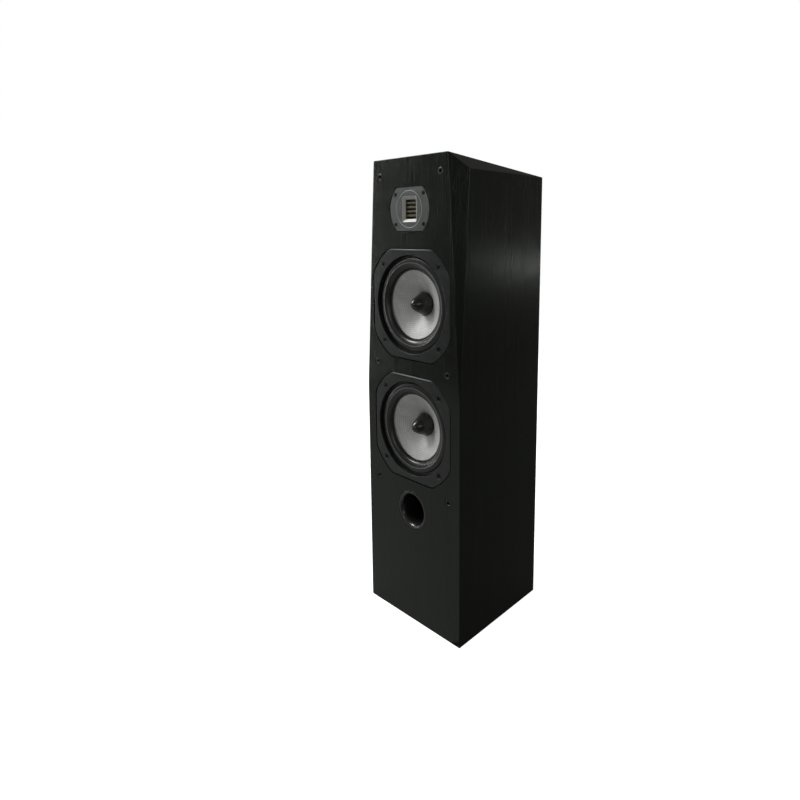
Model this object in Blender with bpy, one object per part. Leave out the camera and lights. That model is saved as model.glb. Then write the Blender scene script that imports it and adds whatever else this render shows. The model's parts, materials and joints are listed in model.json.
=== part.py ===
"""A floorstanding loudspeaker: a faceted wooden cabinet with a pleated tweeter, two
woofers with bullet dust caps, a flared port, grille sockets and a rear terminal cup.

Run it with:  blender --background --python part.py
Units are metres. +Z is up, the front faces -Y, and the origin is at the middle of the
base. Depths into the cabinet are measured from the front face towards +Y.
"""

import math

import bmesh
import bpy
from mathutils import Matrix

# ---------------------------------------------------------------- driving dimensions
WIDTH = 0.271
DEPTH = 0.255
HEIGHT = 0.965
FRONT = -DEPTH / 2
BACK = DEPTH / 2
GAP = 0.0003
# A cutter starts or ends this far past the face that it cuts.
OVERLAP = 0.001
# A depth that is safely behind the baffle.
BEHIND_BAFFLE = 0.030

# The facets: each upper front corner is cut by a long triangle that starts at a point
# half-way up the corner, and each top edge by a triangle that dies out at the back.
FACET_FOOT = 0.490
FACET_FRONT_WIDTH = 0.0315
FACET_SIDE_WIDTH = 0.0255
FACET_SIDE_DROP = 0.0305
BACK_DROP = 0.0265

BAFFLE_THICKNESS = 0.022
PANEL_THICKNESS = 0.018
BRACE_THICKNESS = 0.016
BRACE_RAIL = 0.038
BRACE_HEIGHTS = (0.551, 0.309)

WOOFER_HEIGHTS = {"upper": 0.6785, "lower": 0.4240}
WOOFER_HALF_FLAT = 0.1105
WOOFER_OUTLINE_RADIUS = 0.1254
WOOFER_RECESS_RADIUS = 0.0985
WOOFER_HOLE_RADIUS = 0.1016
WOOFER_FLANGE_THICKNESS = 0.005
WOOFER_SCREW_OFFSET = 0.0785
SURROUND_CREST_RADIUS = 0.0835
SURROUND_ROLL_WIDTH = 0.022
SURROUND_ROLL_HEIGHT = 0.0050
SURROUND_LIP_DEPTH = 0.0097
SURROUND_FOOT_DEPTH = 0.0140
CONE_EDGE_RADIUS = 0.0725
CONE_EDGE_DEPTH = 0.0145
CONE_NECK_RADIUS = 0.0198
CONE_NECK_DEPTH = 0.0448
DUST_CAP_RADIUS = 0.0242
DUST_CAP_TIP_DEPTH = 0.0045
DUST_CAP_RIM_DEPTH = 0.0414
COIL_RADIUS = 0.0190

TWEETER_HEIGHT = 0.8656
TWEETER_RADIUS = 0.0558
TWEETER_HALF_FLAT = 0.0425
TWEETER_BEAD_RADIUS = 0.0355
TWEETER_SCREW_X = 0.0396
TWEETER_SCREW_Z = 0.0291
APERTURE_OUTER = (0.0212, 0.0251)
APERTURE_INNER = (0.0150, 0.0188)
APERTURE_CORNER = 0.004
SLOT_COUNT = 5
SLOT_PITCH = 0.0080
SLOT_HEIGHT = 0.0038
PLEAT_COUNT = 9

PORT_HEIGHT = 0.2480
PORT_LIP_RADIUS = 0.0408
PORT_BORE_RADIUS = 0.0300
PORT_LENGTH = 0.150
PORT_WALL = 0.0022

# Height and half-spacing of each pair of grille sockets, from the top pair down.
SOCKET_PAIRS = {"top": (0.9317, 0.0854), "middle": (0.5512, 0.1018), "bottom": (0.2958, 0.1042)}
SOCKET_RADIUS = 0.0075
SOCKET_BORE_RADIUS = 0.0032
SOCKET_LENGTH = 0.012

TERMINAL_HEIGHT = 0.170
TERMINAL_FLANGE = (0.056, 0.044)
TERMINAL_CUP = (0.044, 0.032)
TERMINAL_CUP_DEPTH = 0.027
TERMINAL_FLOOR = 0.003
POST_SPACING = 0.038

WOOFER_SEGMENTS = 32
MOTOR_SEGMENTS = 20
TWEETER_SEGMENTS = 28
PORT_SEGMENTS = 28
SMALL_SEGMENTS = 12
SCREW_SEGMENTS = 8


# ---------------------------------------------------------------- materials
def material(name, colour, roughness, metallic=0.0):
    """A Principled material with a plain colour."""
    made = bpy.data.materials.new(name)
    made.use_nodes = True
    shader = made.node_tree.nodes["Principled BSDF"]
    shader.inputs["Base Color"].default_value = (*colour, 1.0)
    shader.inputs["Roughness"].default_value = roughness
    shader.inputs["Metallic"].default_value = metallic
    return made


def make_materials():
    """All the colours and finishes, by name."""
    return {
        "black_ash": material("black_ash", (0.018, 0.018, 0.017), 0.42),
        "bare_board": material("bare_board", (0.33, 0.22, 0.13), 0.75),
        "grey_metal": material("grey_metal", (0.085, 0.085, 0.088), 0.45, 0.6),
        "rubber": material("rubber", (0.012, 0.012, 0.012), 0.38),
        "cone": material("cone", (0.30, 0.29, 0.27), 0.40, 0.5),
        "gloss_black": material("gloss_black", (0.006, 0.006, 0.006), 0.12),
        "fabric": material("fabric", (0.45, 0.30, 0.12), 0.85),
        "ferrite": material("ferrite", (0.030, 0.030, 0.032), 0.60),
        "steel": material("steel", (0.50, 0.50, 0.50), 0.30, 1.0),
        "plate_grey": material("plate_grey", (0.13, 0.13, 0.135), 0.42, 0.5),
        "silver": material("silver", (0.72, 0.72, 0.70), 0.28, 1.0),
        "brass": material("brass", (0.42, 0.36, 0.22), 0.35, 1.0),
        "copper": material("copper", (0.60, 0.26, 0.14), 0.30, 1.0),
        "film": material("film", (0.10, 0.07, 0.03), 0.30),
        "black_screw": material("black_screw", (0.010, 0.010, 0.010), 0.35, 0.6),
        "black_plastic": material("black_plastic", (0.013, 0.013, 0.013), 0.35),
        "red_plastic": material("red_plastic", (0.42, 0.015, 0.012), 0.30),
        "board_green": material("board_green", (0.03, 0.10, 0.05), 0.45),
    }


# ---------------------------------------------------------------- mesh helpers
def add_object(name, mesh, finish, location=(0, 0, 0)):
    """Puts a mesh into the scene as a named object with one material."""
    made = bpy.data.objects.new(name, mesh)
    made.location = location
    if finish is not None:
        mesh.materials.append(finish)
    bpy.context.scene.collection.objects.link(made)
    return made


def mesh_from(name, shape):
    """Turns a bmesh into a mesh with its faces pointing out."""
    bmesh.ops.recalc_face_normals(shape, faces=shape.faces)
    mesh = bpy.data.meshes.new(name)
    shape.to_mesh(mesh)
    shape.free()
    return mesh


def shade_round(made, angle=35):
    """Smooth shading that keeps edges sharper than the angle, in degrees."""
    made.data.shade_smooth()
    made.data.set_sharp_from_angle(angle=math.radians(angle))


def box_mesh(name, low, high):
    """A box between two corners."""
    shape = bmesh.new()
    size = [b - a for a, b in zip(low, high)]
    centre = [(a + b) / 2 for a, b in zip(low, high)]
    place = Matrix.Translation(centre) @ Matrix.Diagonal((*size, 1.0))
    bmesh.ops.create_cube(shape, size=1.0, matrix=place)
    return mesh_from(name, shape)


def prism_mesh(name, outline, start, end):
    """An outline of (x, z) points, extruded along Y."""
    shape = bmesh.new()
    corners = [shape.verts.new((x, start, z)) for x, z in outline]
    face = shape.faces.new(corners)
    grown = bmesh.ops.extrude_face_region(shape, geom=[face])
    moved = [item for item in grown["geom"] if isinstance(item, bmesh.types.BMVert)]
    bmesh.ops.translate(shape, verts=moved, vec=(0, end - start, 0))
    return mesh_from(name, shape)


def loft_mesh(name, sections):
    """Joins outlines of equal length, each given as (y, [(x, z), ...]), and caps the ends."""
    shape = bmesh.new()
    rings = [[shape.verts.new((x, y, z)) for x, z in outline] for y, outline in sections]
    for near, far in zip(rings, rings[1:]):
        for i in range(len(near)):
            j = (i + 1) % len(near)
            shape.faces.new((near[i], near[j], far[j], far[i]))
    shape.faces.new(rings[0])
    shape.faces.new(rings[-1])
    return mesh_from(name, shape)


def turned_mesh(name, profile, segments, closed=True):
    """Spins (radius, depth) points about the Y axis. A profile that isn't closed starts
    and ends on the axis."""
    shape = bmesh.new()
    points = [shape.verts.new((radius, depth, 0)) for radius, depth in profile]
    edges = [shape.edges.new(pair) for pair in zip(points, points[1:])]
    if closed:
        edges.append(shape.edges.new((points[-1], points[0])))
    bmesh.ops.spin(
        shape, geom=points + edges, cent=(0, 0, 0), axis=(0, 1, 0),
        angle=2 * math.pi, steps=segments, use_merge=True,
    )
    bmesh.ops.remove_doubles(shape, verts=shape.verts, dist=1e-6)
    bmesh.ops.dissolve_degenerate(shape, edges=shape.edges, dist=1e-6)
    return mesh_from(name, shape)


def turned(name, profile, segments, finish, location, closed=True):
    """A turned object, shaded smooth."""
    made = add_object(name, turned_mesh(name, profile, segments, closed), finish, location)
    shade_round(made)
    return made


def cutter(name, mesh, location=(0, 0, 0)):
    """A hidden helper for Boolean modifiers."""
    made = add_object(name, mesh, None, location)
    made.hide_render = True
    made.display_type = "WIRE"
    return made


def boolean(target, tool, operation, solver="EXACT"):
    """Adds a Boolean modifier that uses the tool."""
    modifier = target.modifiers.new(tool.name, "BOOLEAN")
    modifier.operation = operation
    modifier.solver = solver
    modifier.object = tool


def cut(target, tool):
    boolean(target, tool, "DIFFERENCE")


def cut_baffle(baffle, tool):
    """The baffle takes so many round cuts that only the manifold solver keeps it closed."""
    boolean(baffle, tool, "DIFFERENCE", solver="MANIFOLD")


def ring_profile(inner, outer, start, end, chamfer=0.0):
    """A flat ring between two depths. A chamfer cuts its two outer edges."""
    if chamfer == 0:
        return [(inner, start), (outer, start), (outer, end), (inner, end)]
    return [
        (inner, start), (outer - chamfer, start), (outer, start + chamfer),
        (outer, end - chamfer), (outer - chamfer, end), (inner, end),
    ]


def rounded_slot(half_x, half_z, corner):
    """A rectangle with straight cut corners, as (x, z) points."""
    return [
        (half_x, half_z - corner), (half_x - corner, half_z),
        (corner - half_x, half_z), (-half_x, half_z - corner),
        (-half_x, corner - half_z), (corner - half_x, -half_z),
        (half_x - corner, -half_z), (half_x, corner - half_z),
    ]


def flatted_circle(radius, half_x, half_z, steps):
    """A circle with flats at +-half_x and +-half_z, as (x, z) points."""
    start = math.acos(min(1.0, half_x / radius))
    end = math.asin(min(1.0, half_z / radius))
    angles = [start + (end - start) * i / steps for i in range(steps + 1)]
    quarter = [(radius * math.cos(a), radius * math.sin(a)) for a in angles]
    mirrored = [(-x, z) for x, z in reversed(quarter)]
    half = quarter + mirrored
    points = half + [(-x, -z) for x, z in half]
    kept = []
    for point in points:
        if not kept or math.dist(point, kept[-1]) > 1e-5:
            kept.append(point)
    if math.dist(kept[0], kept[-1]) < 1e-5:
        kept.pop()
    return kept


# ---------------------------------------------------------------- cabinet
def cabinet_outline():
    """The outer form of the cabinet: a box whose upper front corners and top edges are
    cut by facets, and whose top slopes down to the back."""
    half = WIDTH / 2
    shape = bmesh.new()
    for side in (-1, 1):
        shape.verts.new((side * half, FRONT, 0))
        shape.verts.new((side * half, BACK, 0))
        shape.verts.new((side * half, FRONT, FACET_FOOT))
        shape.verts.new((side * (half - FACET_FRONT_WIDTH), FRONT, HEIGHT))
        shape.verts.new((side * half, FRONT + FACET_SIDE_WIDTH, HEIGHT - FACET_SIDE_DROP))
        shape.verts.new((side * half, BACK, HEIGHT - BACK_DROP))
    bmesh.ops.convex_hull(shape, input=shape.verts)
    return mesh_from("cabinet_outline", shape)


def panel(name, low, high, outline, finish):
    """A flat board, trimmed to the cabinet's outer form."""
    made = add_object(name, box_mesh(name, low, high), finish)
    boolean(made, outline, "INTERSECT")
    return made


def make_cabinet(finishes):
    """Six panels and two window braces. Returns the baffle and the back for cutting."""
    veneer = finishes["black_ash"]
    outline = cutter("cabinet_outline", cabinet_outline())
    half = WIDTH / 2
    inner_x = half - PANEL_THICKNESS - GAP
    inner_front = FRONT + BAFFLE_THICKNESS + GAP
    inner_back = BACK - PANEL_THICKNESS - GAP

    baffle = panel(
        "front_baffle", (-half, FRONT, 0), (half, FRONT + BAFFLE_THICKNESS, HEIGHT), outline, veneer
    )
    for name, side in (("side_panel_left", -1), ("side_panel_right", 1)):
        across = sorted((side * half, side * (half - PANEL_THICKNESS)))
        panel(name, (across[0], inner_front, 0), (across[1], BACK, HEIGHT), outline, veneer)
    back = panel(
        "back_panel", (-inner_x, BACK - PANEL_THICKNESS, 0), (inner_x, BACK, HEIGHT), outline, veneer
    )
    panel(
        "bottom_panel", (-inner_x, inner_front, 0), (inner_x, inner_back, PANEL_THICKNESS),
        outline, veneer,
    )

    top_at = {y: HEIGHT - BACK_DROP * (y - FRONT) / DEPTH for y in (inner_front, inner_back)}
    sections = [
        (y, [(-inner_x, z - PANEL_THICKNESS), (inner_x, z - PANEL_THICKNESS), (inner_x, z), (-inner_x, z)])
        for y, z in top_at.items()
    ]
    top = add_object("top_panel", loft_mesh("top_panel", sections), veneer)
    boolean(top, outline, "INTERSECT")

    window_x = inner_x - BRACE_RAIL
    for number, height in enumerate(BRACE_HEIGHTS, 1):
        name = f"window_brace_{number}"
        low = height - BRACE_THICKNESS / 2
        high = height + BRACE_THICKNESS / 2
        mesh = box_mesh(
            name, (-inner_x + GAP, inner_front + GAP, low), (inner_x - GAP, inner_back - GAP, high)
        )
        brace = add_object(name, mesh, finishes["bare_board"])
        window = box_mesh(
            name + "_window",
            (-window_x, inner_front + BRACE_RAIL, low - OVERLAP),
            (window_x, inner_back - BRACE_RAIL, high + OVERLAP),
        )
        cut(brace, cutter(name + "_window", window))
    return baffle, back


# ---------------------------------------------------------------- fasteners
def screw_profile(head_radius, head_depth, shank_radius, length):
    """A flat-headed screw with a round socket. Its head starts at depth 0."""
    socket = head_radius * 0.42
    socket_depth = head_depth * 0.75
    return [
        (0, socket_depth), (socket, socket_depth), (socket, 0.0),
        (head_radius, 0.0), (head_radius, head_depth), (shank_radius, head_depth),
        (shank_radius, length - shank_radius), (0, length),
    ]


def make_screws(prefix, points, profile, finish, depth):
    """One screw object at each (x, z) point. They share one mesh."""
    mesh = turned_mesh(prefix + "_screw", profile, SCREW_SEGMENTS, closed=False)
    mesh.materials.append(finish)
    for number, (x, z) in enumerate(points, 1):
        made = bpy.data.objects.new(f"{prefix}_screw_{number}", mesh)
        made.location = (x, FRONT + depth, z)
        bpy.context.scene.collection.objects.link(made)
        shade_round(made)


def hole(name, radius, start, end, x, z, segments=SMALL_SEGMENTS):
    """A cylindrical cutter that runs between two depths."""
    mesh = turned_mesh(name, ring_profile(0, radius, start, end), segments, closed=False)
    return cutter(name, mesh, (x, FRONT, z))


# ---------------------------------------------------------------- woofers
WOOFER_HEAD_RADIUS = 0.0052
WOOFER_HEAD_DEPTH = 0.0032
WOOFER_SHANK_RADIUS = 0.0022
WOOFER_SCREW_LENGTH = 0.018
WOOFER_PILOT_START = 0.003
WOOFER_CLEARANCE = 0.0009
SCREW_CLEARANCE = 0.0004

BASKET_BLANK_RADIUS = 0.130
BASKET_SHOULDER_RADIUS = 0.1010
BASKET_SHOULDER_DEPTH = 0.0115
BASKET_LEDGE_RADIUS = 0.0900
BASKET_LEDGE_DEPTH = 0.0100
BASKET_LEDGE_THICKNESS = 0.0035
BASKET_WALL_START = (0.0980, 0.0160)
BASKET_WALL_END = (0.0700, 0.0730)
BASKET_REAR_RADIUS = 0.0660
BASKET_REAR_HOLE = 0.0260
BASKET_REAR_THICKNESS = 0.0045
BASKET_DEPTH = 0.084
WINDOW_COUNT = 6
WINDOW_HALF_ANGLE = math.radians(21)
WINDOW_RADII = (0.040, 0.125)
WINDOW_DEPTHS = (0.0235, 0.0660)

SPIDER_DEPTH = 0.070
SPIDER_LEDGE_INNER = 0.0570
SPIDER_LEDGE_OUTER = 0.0655
SURROUND_OUTER_RADIUS = 0.0980
SURROUND_INNER_RADIUS = 0.0700
RUBBER_THICKNESS = 0.0010
CONE_THICKNESS = 0.0012
CONE_CURVE = 1.08
CAP_THICKNESS = 0.0015
CAP_CURVE = 1.65

# The motor behind the basket, as a stack of rings with a small gap between them.
TOP_PLATE_RADII = (0.0212, 0.0600)
TOP_PLATE_START = BASKET_DEPTH + GAP
TOP_PLATE_END = TOP_PLATE_START + 0.008
MAGNET_RADII = (0.0320, 0.0680)
MAGNET_START = TOP_PLATE_END + GAP
MAGNET_END = MAGNET_START + 0.020
MAGNET_CHAMFER = 0.0020
YOKE_VENT_RADIUS = 0.0070
YOKE_VENT_FLARE = 0.0030
YOKE_POLE_RADIUS = 0.0183
YOKE_POLE_START = 0.0860
YOKE_RADIUS = 0.0600
YOKE_PLATE_START = MAGNET_END + GAP
YOKE_PLATE_END = YOKE_PLATE_START + 0.008
COIL_START = 0.0455
COIL_END = 0.0970
WINDING_START = 0.0840
FORMER_THICKNESS = 0.0004
WINDING_THICKNESS = 0.0014


def basket_profile():
    """Flange, sloping basket wall, rear plate, spider ledge and recess ledge."""
    rear_plate = BASKET_DEPTH - BASKET_REAR_THICKNESS
    spider_ledge = SPIDER_DEPTH + GAP
    ledge_back = BASKET_LEDGE_DEPTH + BASKET_LEDGE_THICKNESS
    flange = [
        (WOOFER_RECESS_RADIUS, 0.0), (BASKET_BLANK_RADIUS, 0.0),
        (BASKET_BLANK_RADIUS, WOOFER_FLANGE_THICKNESS),
        (BASKET_SHOULDER_RADIUS, WOOFER_FLANGE_THICKNESS),
        (BASKET_SHOULDER_RADIUS, BASKET_SHOULDER_DEPTH),
    ]
    wall = [BASKET_WALL_START, BASKET_WALL_END, (BASKET_REAR_RADIUS, BASKET_DEPTH)]
    rear = [
        (BASKET_REAR_HOLE, BASKET_DEPTH), (BASKET_REAR_HOLE, rear_plate), (SPIDER_LEDGE_INNER, rear_plate),
    ]
    inside = [
        (SPIDER_LEDGE_INNER, spider_ledge), (SPIDER_LEDGE_OUTER, spider_ledge),
        (BASKET_LEDGE_RADIUS, ledge_back), (BASKET_LEDGE_RADIUS, BASKET_LEDGE_DEPTH),
        (WOOFER_RECESS_RADIUS, BASKET_LEDGE_DEPTH),
    ]
    return flange + wall + rear + inside


def basket_windows(name, height):
    """Wedges that open the basket wall between its spokes."""
    near, far = WINDOW_RADII
    front_depth, rear_depth = WINDOW_DEPTHS
    shape = bmesh.new()
    for number in range(WINDOW_COUNT):
        middle = 2 * math.pi * number / WINDOW_COUNT
        ring = []
        for radius, turn in ((near, -1), (far, -1), (far, 1), (near, 1)):
            angle = middle + turn * WINDOW_HALF_ANGLE
            ring.append((radius * math.cos(angle), radius * math.sin(angle)))
        front = [shape.verts.new((x, front_depth, z)) for x, z in ring]
        rear = [shape.verts.new((x, rear_depth, z)) for x, z in ring]
        shape.faces.new(front)
        shape.faces.new(rear)
        for i in range(4):
            j = (i + 1) % 4
            shape.faces.new((front[i], front[j], rear[j], rear[i]))
    return cutter(name, mesh_from(name, shape), (0, FRONT, height))


def surround_profile():
    """A half-roll rubber surround with a flat lip at each edge. Its inner edge lies
    deeper than its outer one."""
    arc_steps = 5
    half_width = SURROUND_ROLL_WIDTH / 2
    front = []
    rear = []
    for i in range(arc_steps + 1):
        angle = math.pi * i / arc_steps
        reach = half_width * math.cos(angle)
        rise = SURROUND_ROLL_HEIGHT * math.sin(angle)
        base = SURROUND_LIP_DEPTH + (SURROUND_FOOT_DEPTH - SURROUND_LIP_DEPTH) * (i / arc_steps) ** 2
        front.append((SURROUND_CREST_RADIUS + reach, base - RUBBER_THICKNESS - rise))
        inner = (half_width - RUBBER_THICKNESS) * math.cos(angle)
        rear.append((SURROUND_CREST_RADIUS + inner, base - rise))
    outer_lip = [
        (SURROUND_OUTER_RADIUS, SURROUND_LIP_DEPTH),
        (SURROUND_OUTER_RADIUS, SURROUND_LIP_DEPTH - RUBBER_THICKNESS),
    ]
    inner_lip = [
        (SURROUND_INNER_RADIUS, SURROUND_FOOT_DEPTH - RUBBER_THICKNESS),
        (SURROUND_INNER_RADIUS, SURROUND_FOOT_DEPTH),
    ]
    return outer_lip + front + inner_lip + rear[::-1]


def cone_depth(radius):
    """Depth of the cone's front surface: steeper towards the neck."""
    across = (CONE_EDGE_RADIUS - radius) / (CONE_EDGE_RADIUS - CONE_NECK_RADIUS)
    return CONE_EDGE_DEPTH + (CONE_NECK_DEPTH - CONE_EDGE_DEPTH) * across ** CONE_CURVE


def cone_profile():
    steps = 3
    span = CONE_EDGE_RADIUS - CONE_NECK_RADIUS
    radii = [CONE_EDGE_RADIUS - span * i / steps for i in range(steps + 1)]
    front = [(r, cone_depth(r)) for r in radii]
    rear = [(r, cone_depth(r) + CONE_THICKNESS) for r in radii]
    return front + rear[::-1]


def cap_point(share, rim_radius, tip_depth):
    """A point on a pointed bullet, at a share of its rim radius."""
    return rim_radius * share, tip_depth + (DUST_CAP_RIM_DEPTH - tip_depth) * share ** CAP_CURVE


def dust_cap_profile():
    """A hollow bullet, open at its rim."""
    steps = 6
    hollow_tip = DUST_CAP_TIP_DEPTH + 2 * CAP_THICKNESS
    outer = []
    inner = []
    for i in range(steps + 1):
        share = i / steps
        outer.append(cap_point(share, DUST_CAP_RADIUS, DUST_CAP_TIP_DEPTH))
        inner.append(cap_point(share, DUST_CAP_RADIUS - CAP_THICKNESS, hollow_tip))
    return outer + inner[::-1]


def spider_profile():
    """A corrugated disc that centres the voice coil."""
    folds = 6
    fold_height = 0.0016
    inner = 0.0200
    outer = 0.0648
    thickness = 0.0008
    front = []
    for i in range(folds + 1):
        radius = inner + (outer - inner) * i / folds
        wave = 0.0 if i in (0, folds) else fold_height * (-1) ** i
        front.append((radius, SPIDER_DEPTH - thickness + wave))
    rear = [(radius, depth + thickness) for radius, depth in front]
    return front + rear[::-1]


def make_woofer(place, height, baffle, finishes):
    """One woofer with its frame, moving cone, motor and screws."""
    at = (0, FRONT, height)
    prefix = place + "_woofer"

    outline = flatted_circle(WOOFER_OUTLINE_RADIUS, WOOFER_HALF_FLAT, WOOFER_HALF_FLAT, 4)
    frame = turned(prefix + "_frame", basket_profile(), WOOFER_SEGMENTS, finishes["grey_metal"], at)
    trim = prism_mesh(prefix + "_trim", outline, -OVERLAP, BASKET_DEPTH + OVERLAP)
    boolean(frame, cutter(prefix + "_trim", trim, at), "INTERSECT")
    cut(frame, basket_windows(prefix + "_windows", height))

    rebate_flat = WOOFER_HALF_FLAT + WOOFER_CLEARANCE
    rebate_outline = flatted_circle(WOOFER_OUTLINE_RADIUS + WOOFER_CLEARANCE, rebate_flat, rebate_flat, 4)
    rebate = prism_mesh(prefix + "_rebate", rebate_outline, -OVERLAP, WOOFER_FLANGE_THICKNESS + GAP)
    cut_baffle(baffle, cutter(prefix + "_rebate", rebate, at))
    opening = hole(
        prefix + "_opening", WOOFER_HOLE_RADIUS, OVERLAP, BEHIND_BAFFLE, 0, height, WOOFER_SEGMENTS
    )
    cut_baffle(baffle, opening)

    seat = WOOFER_HEAD_DEPTH + 2 * GAP
    through_flange = WOOFER_FLANGE_THICKNESS + OVERLAP
    pilot_end = WOOFER_SCREW_LENGTH + OVERLAP
    shank = WOOFER_SHANK_RADIUS
    points = []
    for x in (-WOOFER_SCREW_OFFSET, WOOFER_SCREW_OFFSET):
        for z in (height + WOOFER_SCREW_OFFSET, height - WOOFER_SCREW_OFFSET):
            points.append((x, z))
            tag = f"{prefix}_{len(points)}"
            cut(frame, hole(tag + "_seat", WOOFER_HEAD_RADIUS + SCREW_CLEARANCE, -OVERLAP, seat, x, z))
            cut(frame, hole(tag + "_clearance", shank + SCREW_CLEARANCE, -OVERLAP, through_flange, x, z))
            cut_baffle(baffle, hole(tag + "_pilot", shank + GAP, WOOFER_PILOT_START, pilot_end, x, z))
    profile = screw_profile(WOOFER_HEAD_RADIUS, WOOFER_HEAD_DEPTH, shank, WOOFER_SCREW_LENGTH)
    make_screws(prefix, points, profile, finishes["black_screw"], GAP)

    # The moving parts share an empty on the axis that they slide along.
    slider = bpy.data.objects.new(prefix + "_slider", None)
    slider.location = at
    bpy.context.scene.collection.objects.link(slider)
    here = (0, 0, 0)
    cap = dust_cap_profile()
    moving = [
        turned(prefix + "_cone", cone_profile(), WOOFER_SEGMENTS, finishes["cone"], here),
        turned(prefix + "_dust_cap", cap, MOTOR_SEGMENTS, finishes["gloss_black"], here, closed=False),
        turned(prefix + "_voice_coil", voice_coil_profile(), MOTOR_SEGMENTS, finishes["copper"], here),
    ]
    for piece in moving:
        piece.parent = slider

    turned(prefix + "_surround", surround_profile(), WOOFER_SEGMENTS, finishes["rubber"], at)
    turned(prefix + "_spider", spider_profile(), MOTOR_SEGMENTS, finishes["fabric"], at)
    top_plate = ring_profile(*TOP_PLATE_RADII, TOP_PLATE_START, TOP_PLATE_END)
    turned(prefix + "_top_plate", top_plate, MOTOR_SEGMENTS, finishes["steel"], at)
    magnet = ring_profile(*MAGNET_RADII, MAGNET_START, MAGNET_END, MAGNET_CHAMFER)
    turned(prefix + "_magnet", magnet, MOTOR_SEGMENTS, finishes["ferrite"], at)
    turned(prefix + "_yoke", yoke_profile(), MOTOR_SEGMENTS, finishes["steel"], at)


def yoke_profile():
    """A rear plate with a vented pole that stands inside the voice coil."""
    return [
        (YOKE_VENT_RADIUS, YOKE_POLE_START), (YOKE_POLE_RADIUS, YOKE_POLE_START),
        (YOKE_POLE_RADIUS, YOKE_PLATE_START), (YOKE_RADIUS, YOKE_PLATE_START),
        (YOKE_RADIUS, YOKE_PLATE_END), (YOKE_VENT_RADIUS + YOKE_VENT_FLARE, YOKE_PLATE_END),
        (YOKE_VENT_RADIUS, YOKE_PLATE_END - YOKE_VENT_FLARE),
    ]


def voice_coil_profile():
    """A thin former with the winding around its rear end."""
    former = COIL_RADIUS + FORMER_THICKNESS
    winding = COIL_RADIUS + WINDING_THICKNESS
    return [
        (COIL_RADIUS, COIL_START), (former, COIL_START), (former, WINDING_START),
        (winding, WINDING_START), (winding, COIL_END), (COIL_RADIUS, COIL_END),
    ]


# ---------------------------------------------------------------- tweeter
FACE_BLANK_RADIUS = 0.060
FACE_DEPTH = 0.0006
FACE_BACK = 0.0050
BOSS_RADIUS = 0.0378
BOSS_BACK = 0.0096
BEAD_FOOT = 0.0012
BEAD_CREST = 0.0005
APERTURE_BACK = 0.0060
APERTURE_LIP = 0.0006
APERTURE_THROAT_DEPTH = 0.0050
APERTURE_INNER_CORNER = 0.0012
POLE_PLATE_FRONT = 0.0063
POLE_PLATE_BACK = 0.0092
SLOT_HALF_WIDTH = 0.0145
BEHIND_FACE = 0.020
TWEETER_OPENING_RADIUS = 0.0384
TWEETER_CLEARANCE = 0.0006

TWEETER_MOTOR_RADIUS = 0.0360
TWEETER_MOTOR_WELL = 0.0320
TWEETER_MOTOR_FRONT = 0.0099
TWEETER_MOTOR_FLOOR = 0.0142
TWEETER_MOTOR_BACK = 0.0500
TWEETER_MOTOR_CHAMFER = 0.0020

TWEETER_HEAD_RADIUS = 0.0040
TWEETER_HEAD_DEPTH = 0.0024
TWEETER_SHANK_RADIUS = 0.0018
TWEETER_SCREW_LENGTH = 0.016
TWEETER_PILOT_START = 0.003
TWEETER_PILOT_END = 0.018

FILM_HALF_SIZE = (0.0190, 0.0225)
FILM_THICKNESS = 0.0006
FILM_FRONT = 0.0098
FILM_FOLD = 0.0028


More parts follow.
